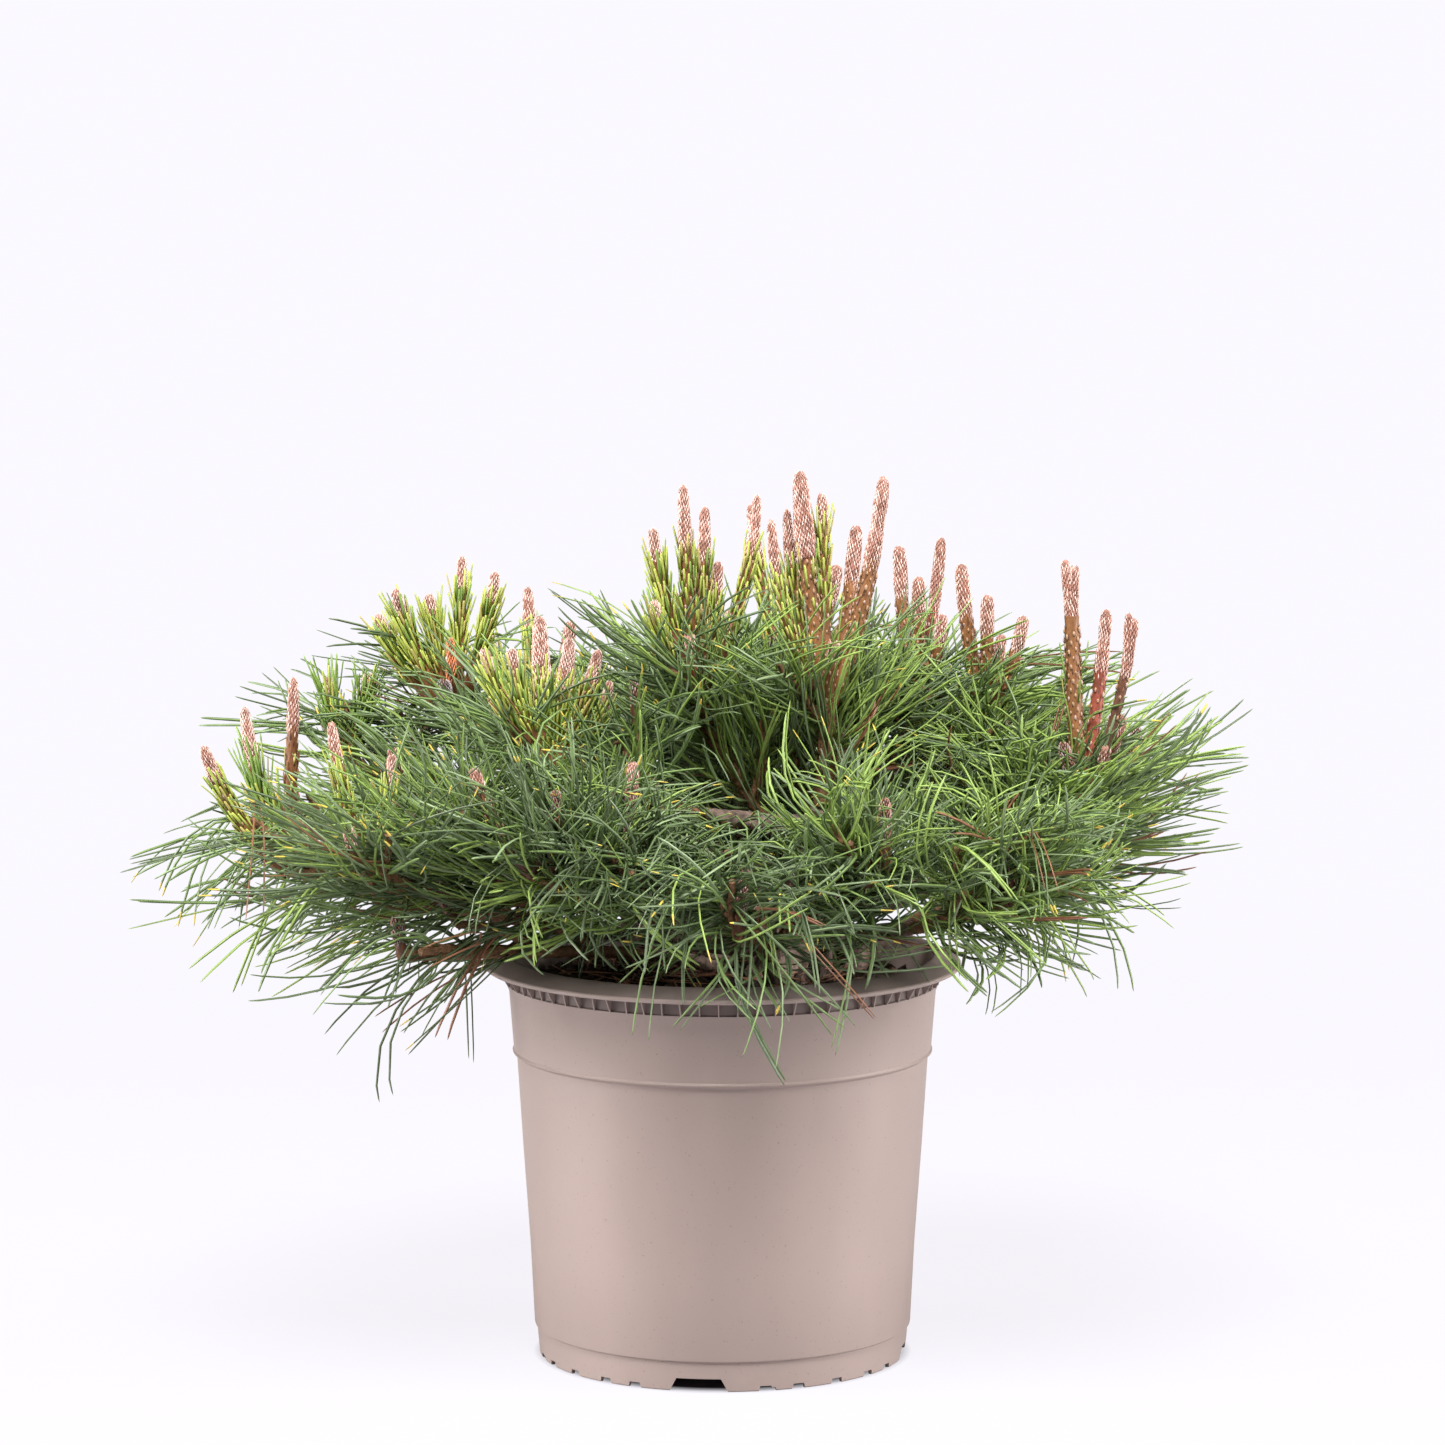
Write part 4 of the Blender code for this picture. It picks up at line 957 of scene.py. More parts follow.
def candle_lines(branch, rng, phase):
    """The lines of a whorl's candles, each bending from its lean towards upright."""
    whorl = whorl_place(branch)
    lines = []
    for number in range(branch.candles):
        share = number / (branch.candles - 1) if branch.candles > 1 else 0.5
        lean = branch.fan[0] + (branch.fan[1] - branch.fan[0]) * share
        length = float(np.interp(share, (0, 0.5, 1), branch.tall)) * rng.uniform(*CANDLE_VARIES)
        depth = CANDLE_SCATTER * length * math.sin(number * GOLDEN_ANGLE + phase)
        tip = leaning(whorl, lean, length, depth)
        side = Vector((tip.x - whorl.x, tip.y - whorl.y, 0))
        middle = whorl + side * CANDLE_BEND[0] + up(CANDLE_BEND[1] * (tip.z - whorl.z))
        lines.append((whorl - up(CANDLE_FOOT), middle, tip))
    return lines


def beside_line(branch, lean, length, depth):
    """The line of a candle beside a whorl's own, leaning and then turning upright."""
    whorl = whorl_place(branch)
    tip = leaning(whorl, lean, length, depth)
    aside, rise = BESIDE_BEND
    middle = whorl + Vector(((tip.x - whorl.x) * aside, depth * aside, (tip.z - whorl.z) * rise))
    return whorl - up(CANDLE_FOOT), middle, tip


def twig_line(branch, ends, number, rng, phase):
    """The curve of one of the twigs that leave a mass's stem by a golden turn and bend upwards."""
    first, last = TWIG_PLACES
    place = first + (last - first) * number / max(1, branch.twigs - 1)
    share = branch.bare + (1 - branch.bare) * place
    root = curve_point(ends, share)
    heading = curve_speed(ends, share).normalized()
    side = heading.orthogonal().normalized()
    side.rotate(Matrix.Rotation(number * GOLDEN_ANGLE + phase, 3, heading))
    side.z = abs(side.z) * 0.6
    length = TWIG_STEM_SHARE * curve_length(ends) * (1 - branch.bare) * (1 - TWIG_SHORTER * place)
    length = (TWIG_LENGTH + length) * rng.uniform(*TWIG_VARIES)
    ahead, aside = TWIG_SPLAY
    middle = root + (heading * ahead + side * aside).normalized() * length * TWIG_BEND
    pull = TWIG_RISE[0] - branch.droop * TWIG_RISE[1]
    after = (heading * 0.5 + side * 0.2 + up(pull)).normalized()
    return root, middle, middle + after * length * 0.5


def fine_line(branch, parent, first, place, number, rng):
    """A finer twig on a stem or twig, by the same rule at a smaller size."""
    share = first + (1 - first) * place
    root = curve_point(parent, share)
    heading = curve_speed(parent, share).normalized()
    side = heading.orthogonal().normalized()
    side.rotate(Matrix.Rotation(number * GOLDEN_ANGLE + rng.uniform(0, 6.28), 3, heading))
    side.z = abs(side.z) * 0.7
    length = rng.uniform(*FINE_LENGTH)
    middle = root + (heading * 0.5 + side * 0.6).normalized() * length * 0.5
    pull = 0.40 - branch.droop * 0.5
    after = (heading * 0.4 + side * 0.3 + up(pull)).normalized()
    return root, middle, middle + after * length * 0.5


# A length of wood that bears needles: its curve, the share where it starts, its radii there and at
# its end, and its rank: 0 for a mass's stem, 1 for a twig and 2 for a finer twig.
Shoot = namedtuple("Shoot", "branch ends first girths rank")


def inside_pot(points, margin=NEEDLE_CLEARANCE):
    """Which points would be in the pot's wall or rim, or in the soil."""
    inner, outer, top = KEPT_CLEAR
    radius = np.hypot(points[..., 0], points[..., 1])
    height = points[..., 2]
    at_wall = (radius > inner) & (radius < outer + margin) & (height < top + margin)
    in_soil = (radius <= SOIL_RADIUS) & (height < KEPT_ABOVE)
    return at_wall | in_soil


def clear_of_pot(ends):
    """Whether a twig stays out of the pot and soil."""
    return not inside_pot(np.array(stretch(ends, 0, 1, 4)), TWIG_CLEARANCE).any()


def grown(context):
    """Every branch with its curve, its root, its candles and its shoots."""
    foot = trunk_foot(context)
    plant = []
    for number, branch in enumerate(BRANCHES):
        seed = FIRST_SEED + number
        rng = random.Random(seed)
        ends, root = branch_curve(branch, foot)
        candles = candle_lines(branch, rng, seed)
        girths = (girth_at(branch, branch.bare), WHORL_GIRTH)
        shoots = [Shoot(branch, ends, branch.bare, girths, 0)]
        for twig_number in range(branch.twigs):
            twig = twig_line(branch, ends, twig_number, rng, seed)
            if clear_of_pot(twig):
                shoots.append(Shoot(branch, twig, 0.0, (TWIG_GIRTH * 1.1, TWIG_GIRTH * 0.8), 1))
        finer = random.Random(seed * 13 + 5)
        for parent in list(shoots):
            count = LOOKS[branch.name].fine[parent.rank]
            for k in range(count):
                place = FINE_PLACES[0] + (FINE_PLACES[1] - FINE_PLACES[0]) * (k + 0.5) / count
                fine = fine_line(branch, parent.ends, parent.first, place, k, finer)
                if clear_of_pot(fine):
                    shoots.append(Shoot(branch, fine, 0.0, (FINE_GIRTH * 1.1, FINE_GIRTH), 2))
        plant.append((branch, ends, root, candles, shoots))
    return plant


def points_on(ends, shares):
    """Points and headings of a curve at an array of shares."""
    start, middle, end = (np.array(place) for place in ends)
    t = np.asarray(shares)[:, None]
    points = start * (1 - t) ** 2 + middle * 2 * t * (1 - t) + end * t ** 2
    return points, unit((middle - start) * (1 - t) + (end - middle) * t)


def spiral(ends, shares, radii, turn):
    """Places round a limb's skin, each a golden turn on from the last, with heading and outward."""
    points, along = points_on(ends, shares)
    across = unit(np.cross(along, (0, 0, 1.0) if abs(along[0][2]) < 0.8 else (0, 1.0, 0)))
    other = np.cross(along, across)
    angle = (turn + GOLDEN_ANGLE * np.arange(len(points)))[:, None]
    outs = across * np.cos(angle) + other * np.sin(angle)
    return points + outs * np.reshape(radii, (-1, 1)), along, outs


# Wood

def barked(bm, depth, plate):
    """Pushes a limb's skin in along the cracks between plates of bark, and ruffles the plates."""
    bm.normal_update()
    moves = []
    for vert in bm.verts:
        place = Vector((vert.co.x, vert.co.y, vert.co.z * 0.7)) / plate
        near, far = noise.voronoi(place)[0][:2]
        crack = min(1.0, (far - near) * 3.2)
        ruffle = noise.noise(vert.co * 420) * 0.35 + noise.noise(vert.co * 130) * 0.5
        moves.append(vert.normal * depth * (crack - 0.75 + ruffle))
    for vert, move in zip(bm.verts, moves):
        vert.co += move
    return bm


class MUGO_OT_wood(bpy.types.Operator):
    """Trunk and boughs, with their bark in relief"""
    bl_idname = "mugo.wood"
    bl_label = "Trunk and boughs"

    def execute(self, context):
        wood = context.scene.mugo_wood
        foot = trunk_foot(context)
        total = bmesh.new()
        length = (TRUNK_TOP - foot).length
        count = round(length / wood.ring)
        shares = [k / count for k in range(count + 1)]
        line = [trunk_point(foot, share) for share in shares]
        radii = [float(np.interp(share, TRUNK_RINGS, TRUNK_RADII)) for share in shares]
        line.insert(0, foot - up(ROOT_SINK))
        radii.insert(0, TRUNK_RADII[0] * 1.05)
        trunk = limb(line, radii, TRUNK_SIDES)
        for vert in trunk.verts:
            low = max(0.0, 1 - (vert.co.z - foot.z) / FLARE_HEIGHT)
            turn = math.atan2(vert.co.y - foot.y, vert.co.x - foot.x)
            flare = 1 + 0.20 * low * math.cos(5 * turn + 0.7) + 0.10 * low * math.cos(3 * turn)
            vert.co.xy = foot.xy + (vert.co.xy - foot.xy) * flare
        gather(total, barked(trunk, wood.relief, wood.plate))
        replaced = ["trunk"]
        for branch, ends, root, _candles, _shoots in grown(context):
            if not branch.bare:
                continue
            count = max(8, round(curve_length(ends) * branch.bare / wood.ring))
            last = branch.bare + BOUGH_OVERLAP
            line = [root] + stretch(ends, 0, last, count)
            radii = [girth_at(branch, last * k / count) * 1.06 for k in range(count + 1)]
            bough = limb(line, [radii[0] * 1.25] + radii, BOUGH_SIDES)
            depth, plate = BOUGH_BARK
            gather(total, barked(bough, wood.relief * depth, wood.plate * plate))
            replaced.append(f"bough_{branch.name}")
        finishes = [toned("bark", wood.bark, 0.45, 2.1, 210.0, 0.86, bump=0.8, detail=7.0,
                          contrast=3.4, grain=(1, 1, 0.6), specular=0.3)]
        add_piece("trunk_and_boughs", mesh_from(total, "wood"), finishes,
                  replaced=replaced, smooth_below=60)
        return {"FINISHED"}


def wedge():
    """A thin pointed scale that lies along a shoot."""
    bm = bmesh.new()
    bmesh.ops.create_cone(bm, cap_ends=True, segments=3, radius1=0.5, radius2=0.0, depth=1.0)
    return template(bm)


class MUGO_OT_twigs(bpy.types.Operator):
    """Stems, twigs and finer twigs, rough with the scales that needles leave"""
    bl_idname = "mugo.twigs"
    bl_label = "Twigs"

    def execute(self, context):
        wood = context.scene.mugo_wood
        total = bmesh.new()
        scales = Scattered(wedge())
        rng = np.random.default_rng(SEEDS["scales"])
        for _branch, _ends, _root, _candles, shoots in grown(context):
            for shoot in shoots:
                length = curve_length(shoot.ends) * (1 - shoot.first)
                count = max(4, round(length / (TWIG_RINGS if shoot.rank else STEM_RINGS)))
                line = stretch(shoot.ends, shoot.first, 1, count)
                radii = np.linspace(shoot.girths[0], shoot.girths[1], count + 1)
                body = limb(line, list(radii), TWIG_SIDES if shoot.rank else STEM_SIDES)
                if not shoot.rank:
                    depth, plate = STEM_BARK
                    barked(body, wood.relief * depth, wood.plate * plate)
                gather(total, body)
                number = round(length / SCALE_SPACING)
                shares = shoot.first + (1 - shoot.first) * (np.arange(number) + 0.5) / number
                girth = np.interp(shares, (shoot.first, 1), shoot.girths)
                places, along, outs = spiral(shoot.ends, shares, girth, 1.0)
                size = SCALE_SIZE * (0.8 + 0.5 * rng.random((number, 1)))
                scales.add(places, outs, along + outs * 0.28, size, rng.integers(0, 2, number))
        finishes = [toned("twig_bark", wood.young, 0.45, 0.95, 300.0, 0.7, bump=0.6,
                          contrast=3.0, specular=0.35),
                    toned("twig_scale", wood.young, 0.8, 1.5, 260.0, 0.6, bump=0.3,
                          contrast=2.5, specular=0.4)]
        add_piece("twigs", mesh_from(total, "twigs"), finishes[:1], smooth_below=60)
        add_piece("twig_scales", scales.mesh("twig_scales", smooth=False), finishes)
        return {"FINISHED"}


# Needles

class Needles:
    """Needles gathered as arrays, then made as one joined mesh."""
    WAYS = ("root", "way", "bend", "hook", "out")

    def __init__(self):
        self.rows = {key: [] for key in (*self.WAYS, "length", "slot", "tipped")}

    def add(self, **rows):
        count = len(rows["root"])
        for key, values in rows.items():
            shape = (count, 3) if key in self.WAYS else (count,)
            self.rows[key].append(np.broadcast_to(values, shape))

    def stacked(self):
        return {key: np.concatenate(values) for key, values in self.rows.items()}


def needle_stops(segments):
    """Shares of a needle's length where its rings are, closer towards its blunt end."""
    return np.append(np.linspace(0, 0.92, segments - 1), (0.98, 1.0))


def needle_lines(rows, segments):
    """Points and headings along every needle: its way bends early, and hooks towards its end."""
    points, headings = [rows["root"]], []
    stops = needle_stops(segments)
    for before, after in zip(stops, stops[1:]):
        t = (before + after) / 2
        heading = unit(rows["way"] + rows["bend"] * t + rows["hook"] * t * t)
        headings.append(heading)
        points.append(points[-1] + heading * (rows["length"] * (after - before))[:, None])
    headings.append(headings[-1])
    return np.stack(points, axis=1), np.stack(headings, axis=1)


def needle_mesh(name, rows, width, segments, inner_slots, tip_slot):
    """Every needle as a closed three-sided blade with a flat inner face, drawn to a point."""
    points, headings = needle_lines(rows, segments)
    count = len(points)
    corners = ((0, 1), (1, 2), (2, 0))
    swell = np.interp(needle_stops(segments), (0, .15, .8, .92, .98, 1),
                      (.75, 1, .95, .80, .50, 0))
    normal = rows["out"]
    rings = []
    for k in range(segments):
        along = headings[:, k]
        normal = unit(normal - along * (normal * along).sum(1, keepdims=True))
        side = np.cross(along, normal)
        half = width / 2 * swell[k] * rows["stout"][:, None]
        centre = points[:, k]
        rings += [centre + normal * half * 0.95, centre + side * half, centre - side * half]
    rings.append(points[:, segments])
    verts = np.stack(rings, axis=1)
    per = verts.shape[1]
    first = np.arange(count)[:, None] * per
    quads, quad_slots = [], []
    tipped = rows["tipped"].astype(bool)
    inner = np.asarray(inner_slots)[rows["slot"]]
    for k in range(segments - 1):
        for a, b in corners:
            low, high = 3 * k, 3 * (k + 1)
            quads.append(first + np.array([low + a, low + b, high + b, high + a]))
            slots = inner if (a, b) == (1, 2) else rows["slot"]
            quad_slots.append(np.where(tipped & (k == segments - 2), tip_slot, slots))
    last = 3 * (segments - 1)
    tris, tri_slots = [first + np.array([0, 2, 1])], [rows["slot"]]
    for a, b in corners:
        tris.append(first + np.array([last + a, last + b, last + 3]))
        tri_slots.append(np.where(tipped, tip_slot, rows["slot"]))
    return mesh_of(name, verts.reshape(-1, 3), [np.concatenate(quads), np.concatenate(tris)],
                   np.concatenate(quad_slots + tri_slots))


def gaps_to(points, parts):
    """How far each point is from the nearest of some straight lengths of wood."""
    starts = np.array([part[0] for part in parts])
    along = np.array([part[1] for part in parts]) - starts
    offset = points[:, None, :] - starts[None]
    share = np.clip((offset * along).sum(2) / (along ** 2).sum(1), 0, 1)
    return np.linalg.norm(offset - share[..., None] * along, axis=2).min(1)


def kept_needles(rows, segments, candles):
    """Leaves out needles that would enter the pot, leave the plant's reach or cross a candle."""
    points, _headings = needle_lines(rows, segments)
    low, high = (np.array(corner) for corner in CAD_BOX)
    outside = ((points < low - PAST_CAD) | (points > high + PAST_CAD)).any(axis=(1, 2))
    keep = ~outside & ~inside_pot(points[:, 1:]).any(axis=1)
    sampled = points[:, 3::2]
    near = np.zeros(len(points), bool)
    for first in range(0, len(points), BLOCK):
        part = sampled[first:first + BLOCK]
        gaps = gaps_to(part.reshape(-1, 3), candles).reshape(part.shape[:2])
        near[first:first + BLOCK] = (gaps < CANDLE_CLEARANCE).any(axis=1)
    keep &= ~near
    return {key: values[keep] for key, values in rows.items()}


def under_ceiling(rows, outs, ceiling):
    """Lowers the needles that would rise above their ceiling, a little more at each try."""
    lower = outs * (0.16, 0.16, 0) - (0, 0, 0.12)
    for _again in range(CEILING_TRIES):
        high = needle_lines(rows, 5)[0][..., 2].max(axis=1) > ceiling
        rows["way"] = np.where(high[:, None], unit(rows["way"] + lower * 0.8), rows["way"])
        rows["bend"] = np.where(high[:, None], rows["bend"] + lower, rows["bend"])
    return rows["way"], rows["bend"]


def dealt_tones(look, rng, count):
    """A slot for each needle: most have their spray's own tone, and a few are dead."""
    tones = rng.choice(3, count, p=look.tones)
    tone = rng.choice(3, p=look.tones)
    tones = np.where(rng.random(count) < SPRAY_SHARE, tone, tones)
    return np.where(rng.random(count) < DEAD_SHARE, DEAD_SLOT, tones)


def clothe(shoot, look, spacing, rng, needles):
    """Adds the pairs of needles round one shoot, from steep old ones to upright young ones."""
    branch = shoot.branch
    first, last = TWIGS_CLAD if shoot.rank else look.clad
    first = shoot.first + (1 - shoot.first) * first
    last = shoot.first + (1 - shoot.first) * last
    length = curve_length(shoot.ends) * (last - first)
    count = int(length * look.density * RANK_DENSITY[shoot.rank] / spacing)
    if count < 3:
        return
    grown_share = (np.arange(count) + rng.random(count)) / count
    shares = first + (last - first) * grown_share
    girth = np.interp(shares, (shoot.first, 1), shoot.girths)
    places, along, outs = spiral(shoot.ends, shares, girth * 0.7, rng.random() * 6.28)
    lean = np.radians(OLD_LEAN - YOUNG_UPRIGHT * grown_share + rng.normal(0, 8, count))[:, None]
    ways = unit(along * np.cos(lean) + outs * np.sin(lean))
    bundle = (np.arange(count) // BUNDLE).astype(int)
    groups = bundle[-1] + 1
    droop = max(0.0, -look.lift)
    hang = min(0.8, 0.16 + 0.8 * droop)
    apart = rng.normal(0, (0.16, 0.16, hang), (groups, 3))[bundle]
    turned_to = outs * 0.55 + outs[np.minimum(bundle * BUNDLE + 4, count - 1)] * 0.75
    spread = rng.uniform(0.15, 1.05, (groups, 1))[bundle] + rng.normal(0, 0.10, (count, 1))
    away = np.array((*whorl_place(branch).xy, 0)) / SWEEP_REACH
    aims = unit(along + away + (0, 0, look.lift) + unit(turned_to) * spread + apart)
    aside = unit(np.cross(ways, rng.normal(size=(count, 3)))) + (0, 0, -0.5 * look.curl)
    backwards = (aims * ways).sum(1, keepdims=True) < 0
    turn = np.where(backwards, unit(aims + aside * 0.7), aims) - ways
    arc = np.abs(rng.normal(0, 1.5 * look.curl, (count, 1)))
    bends = turn * (1.5 + 0.6 * droop) + aside * arc
    hooks = (-0.6 * turn - ways * np.minimum(arc ** 2 / 2, 3.0) + aside * arc * look.sway
             + rng.normal(0, 0.12, (count, 3)))
    lengths = rng.uniform(*look.length, count) * RANK_LENGTH[shoot.rank]
    ceiling = branch.height + look.crest * rng.uniform(0.55, 1.35, count)
    rows = {"root": places, "way": ways, "bend": bends, "hook": hooks, "length": lengths}
    ways, bends = under_ceiling(rows, outs, ceiling)
    tones = dealt_tones(look, rng, count)
    across = unit(np.cross(ways, rng.normal(size=(count, 3))))
    tipped = rng.random(count) < look.tipped
    for side in (-1, 1):
        part = rng.normal(0, 0.03, (count, 3))
        needles.add(root=places, way=unit(ways + across * side * PAIR_OPENS + part),
                    bend=bends + part, hook=hooks + part,
                    length=lengths * rng.uniform(0.95, 1.03, count),
                    out=across * side, slot=tones, tipped=tipped)


def needle_finishes(settings):
    """Deep, mid, bright, their inner faces, tip and dead, as plain tones with a faint grain."""
    tones = {"deep": settings.deep, "mid": settings.mid, "bright": settings.bright,
             "inner_deep": shade(settings.inner, 0.62), "inner": settings.inner,
             "tip": settings.tip, "dead": settings.dead}
    return [toned(f"needle_{name}", colour, 0.84, 1.18, 95.0, 0.42, detail=2.0, contrast=3.0,
                  specular=0.45) for name, colour in tones.items()]


class MUGO_OT_needles(bpy.types.Operator):
    """Pairs of long needles round every stem and twig, in one piece for each side of the crown"""
    bl_idname = "mugo.needles"
    bl_label = "Needles"

    def execute(self, context):
        settings = context.scene.mugo_needles
        finishes = needle_finishes(settings)
        plant = grown(context)
        lines = [stretch(line, 0.2, 1, 3) for row in plant for line in row[3]]
        candles = [(np.array(a), np.array(b)) for line in lines for a, b in zip(line, line[1:])]
        groups = {}
        for number, (branch, _ends, _root, _candles, shoots) in enumerate(plant):
            look = LOOKS[branch.name]
            bed, masses = groups.setdefault(look.piece, (Needles(), []))
            masses.append(f"mass_{branch.name}")
            rng = np.random.default_rng(SEEDS["needles"] + number)
            for shoot in shoots:
                clothe(shoot, look, settings.spacing, rng, bed)
        for name, (bed, masses) in groups.items():
            rows = kept_needles(bed.stacked(), settings.segments, candles)
            rng = np.random.default_rng(SEEDS["girths"])
            rows["stout"] = rng.uniform(0.85, 1.15, len(rows["root"]))
            mesh = needle_mesh(name, rows, settings.width, settings.segments, INNER_SLOTS,
                               TIP_SLOT)
            add_piece(name, mesh, finishes, replaced=masses)
        return {"FINISHED"}


# Candles

def bulge(u, shape):
    """A woolly top's radius along it, from its foot at 0 to its closed end at 1."""
    u = np.asarray(u, float)
    close = np.sqrt(np.clip(1 - (np.clip(u - 0.88, 0, 1) / 0.12) ** 2, 0, 1))
    return np.interp(u, *TOP_SHAPES[shape]) * close


class Candles:
    """All the candles' parts: shafts and cores as limbs, and their small parts as arrays."""

    def __init__(self, settings):
        self.settings = settings
        self.rng = np.random.default_rng(SEEDS["candles"])
        self.limbs = bmesh.new()
        self.strands = Scattered(self.bead(3, 2))
        self.dots = Scattered(self.bead(4, 3))
        self.scales = Scattered(wedge())
        self.new = Needles()

    def bead(self, round_it, along_it):
        """A small closed ball with few faces, drawn out later to a strand or a dot."""
        bm = bmesh.new()
        bmesh.ops.create_uvsphere(bm, u_segments=round_it, v_segments=along_it, radius=0.5)
        return template(bm)

    def woolly_top(self, ends, first, girth, wool, shape):
        """A rounded core under rows of narrow woolly strands that point up along it."""
        shares = np.concatenate([np.linspace(0, 0.88, 9), [0.94, 0.98]])
        line = [curve_point(ends, first + (1 - first) * float(u)) for u in shares]
        line.append(curve_point(ends, 1.0))
        radii = [girth * 0.90 * float(value) for value in bulge(shares, shape)] + [0]
        slot = len(SHAFTS) + (1 if wool == "orange" else 2 if wool in ("grey", "dusky") else 0)
        gather(self.limbs, limb(line, radii, CORE_SIDES, slot=slot))
        length = curve_length(ends) * (1 - first)
        strand = self.settings.strand
        number = int(length * girth * 2 * math.pi / (STRAND_SPACING * strand * 0.62))
        u = (np.arange(number) + 0.5) / number * 1.20 - 0.22
        u = u[(u > 0) | (self.rng.random(number) < 0.35 + u * 1.4)]
        u = u[(first + (1 - first) * u > 0.02) & (u < 0.985)]
        number = len(u)
        radii = girth * bulge(np.maximum(u, 0), shape) * 0.93
        places, along, outs = spiral(ends, first + (1 - first) * u, radii, 0.3)
        size = np.stack([np.full(number, STRAND_WIDTH),
                         self.rng.uniform(*STRAND_THICKNESS, number),
                         strand * self.rng.uniform(0.7, 1.25, number)], axis=1)
        size *= np.where(u > 0.85, 0.7, 1.0)[:, None]
        inward = np.where(u > 0.84, -0.65 * (u - 0.84) / 0.16, 0.18)[:, None]
        self.strands.add(places, outs, along + outs * inward, size,
                         self.rng.choice(5, number, p=WOOLS[wool]))

    def add(self, ends, style, scale=1.0):
        """One candle: its shaft, its woolly top, its scales and dots, and its new needles."""
        rng = self.rng
        length = curve_length(ends)
        stout = self.settings.stoutness * scale * rng.uniform(0.92, 1.08)
        shaft, girth = style.shaft * stout, style.top * stout
        top = 1 - style.woolly
        count = max(6, round(length * top / 0.004))
        shares = np.linspace(0, top + 0.04, count + 1)
        radii = np.interp(shares, (0, 0.14, top * 0.6, top + 0.04),
                          (shaft * 0.86, shaft * 1.10, shaft, shaft * 0.92))
        radii *= 1 + 0.05 * np.sin(shares * length * 900 + rng.random() * 6)
        line = [curve_point(ends, float(share)) for share in shares]
        gather(self.limbs, limb(line, [float(value) for value in radii], SHAFT_SIDES,
                                slot=SHAFTS.index(style.tone)))
        if style.shape == "lobes":
            self.lobed(ends, style, girth, top)
        else:
            self.woolly_top(ends, top, girth, style.wool, style.shape)
        self.rough(ends, top, shaft, style)
        if style.new.count:
            self.needled(ends, shaft, style.new)

    def rough(self, ends, top, shaft, style):
        """Papery scales all over the shaft, and rows of pale dots."""
        rng = self.rng
        length = curve_length(ends) * top
        number = round(length / PAPERY_SPACING)
        shares = top * (np.arange(number) + 0.5) / number
        places, along, outs = spiral(ends, shares, shaft * 0.97, rng.random() * 6)
        papery = rng.uniform(0.7, 1.2, (number, 1)) * np.where(shares < 0.25, 1.4, 0.95)[:, None]
        self.scales.add(places, outs, along + outs * 0.20, PAPERY_SIZE * papery,
                        np.where(rng.random(number) < 0.35, 2, rng.integers(0, 2, number)))
        if style.dots:
            number = round(length * 2 * math.pi * shaft / (style.dots ** 2 * 0.62))
            shares = 0.10 + (top - 0.11) * (np.arange(number) + 0.5) / max(1, number)
            places, along, outs = spiral(ends, shares, shaft * 1.04, rng.random() * 6)
            size = DOT_SIZE * rng.uniform(0.6, 1.2, (number, 1))
            self.dots.add(places, outs, along, size, rng.choice(2, number, p=(0.75, 0.25)))

    def needled(self, ends, shaft, new):
        """New needles, flat against the shaft at their feet and fanning towards its top."""
        rng = self.rng
        u = (np.arange(new.count) + rng.random(new.count)) / new.count
        shares = new.first + (new.last - new.first) * u
        places, along, outs = spiral(ends, shares, shaft * 0.95, rng.random() * 6)
        lean = np.radians(rng.uniform(*new.lean, new.count))[:, None]
        self.new.add(root=places, way=along * np.cos(lean) + outs * np.sin(lean),
                     bend=along * 0.4 + rng.normal(0, 0.10, (new.count, 3)),
                     hook=rng.normal(0, 0.08, (new.count, 3)), out=outs, tipped=False,
                     length=new.length * rng.uniform(0.65, 1.25, new.count) * (0.7 + 0.5 * u),
                     slot=rng.choice(4, new.count, p=NEW_TONES[new.tone]))

    def lobed(self, ends, style, girth, top):
        """A woolly top that parts near its end into short blunt lobes."""
        below = (curve_point(ends, 0), ends[1], curve_point(ends, LOBES_FROM))
        self.woolly_top(below, top / LOBES_FROM, girth, style.wool, style.shape)
        centre = curve_point(ends, LOBES_FROM)
        heading = curve_speed(ends, LOBES_FROM).normalized()
        side = heading.orthogonal().normalized()
        length = curve_length(ends) * (1 - LOBES_FROM) + 0.003
        for number in range(LOBES):
            out = side.copy()
            out.rotate(Matrix.Rotation(2 * math.pi * number / LOBES + 0.5, 3, heading))
            start = centre - heading * 0.006 + out * girth * 0.25
            end = centre + heading * length * (0.75 + 0.2 * (number % 2)) + out * girth * 0.85
            self.woolly_top((start, start.lerp(end, 0.5), end), 0.0, girth * 0.68, style.wool,
                            "round")


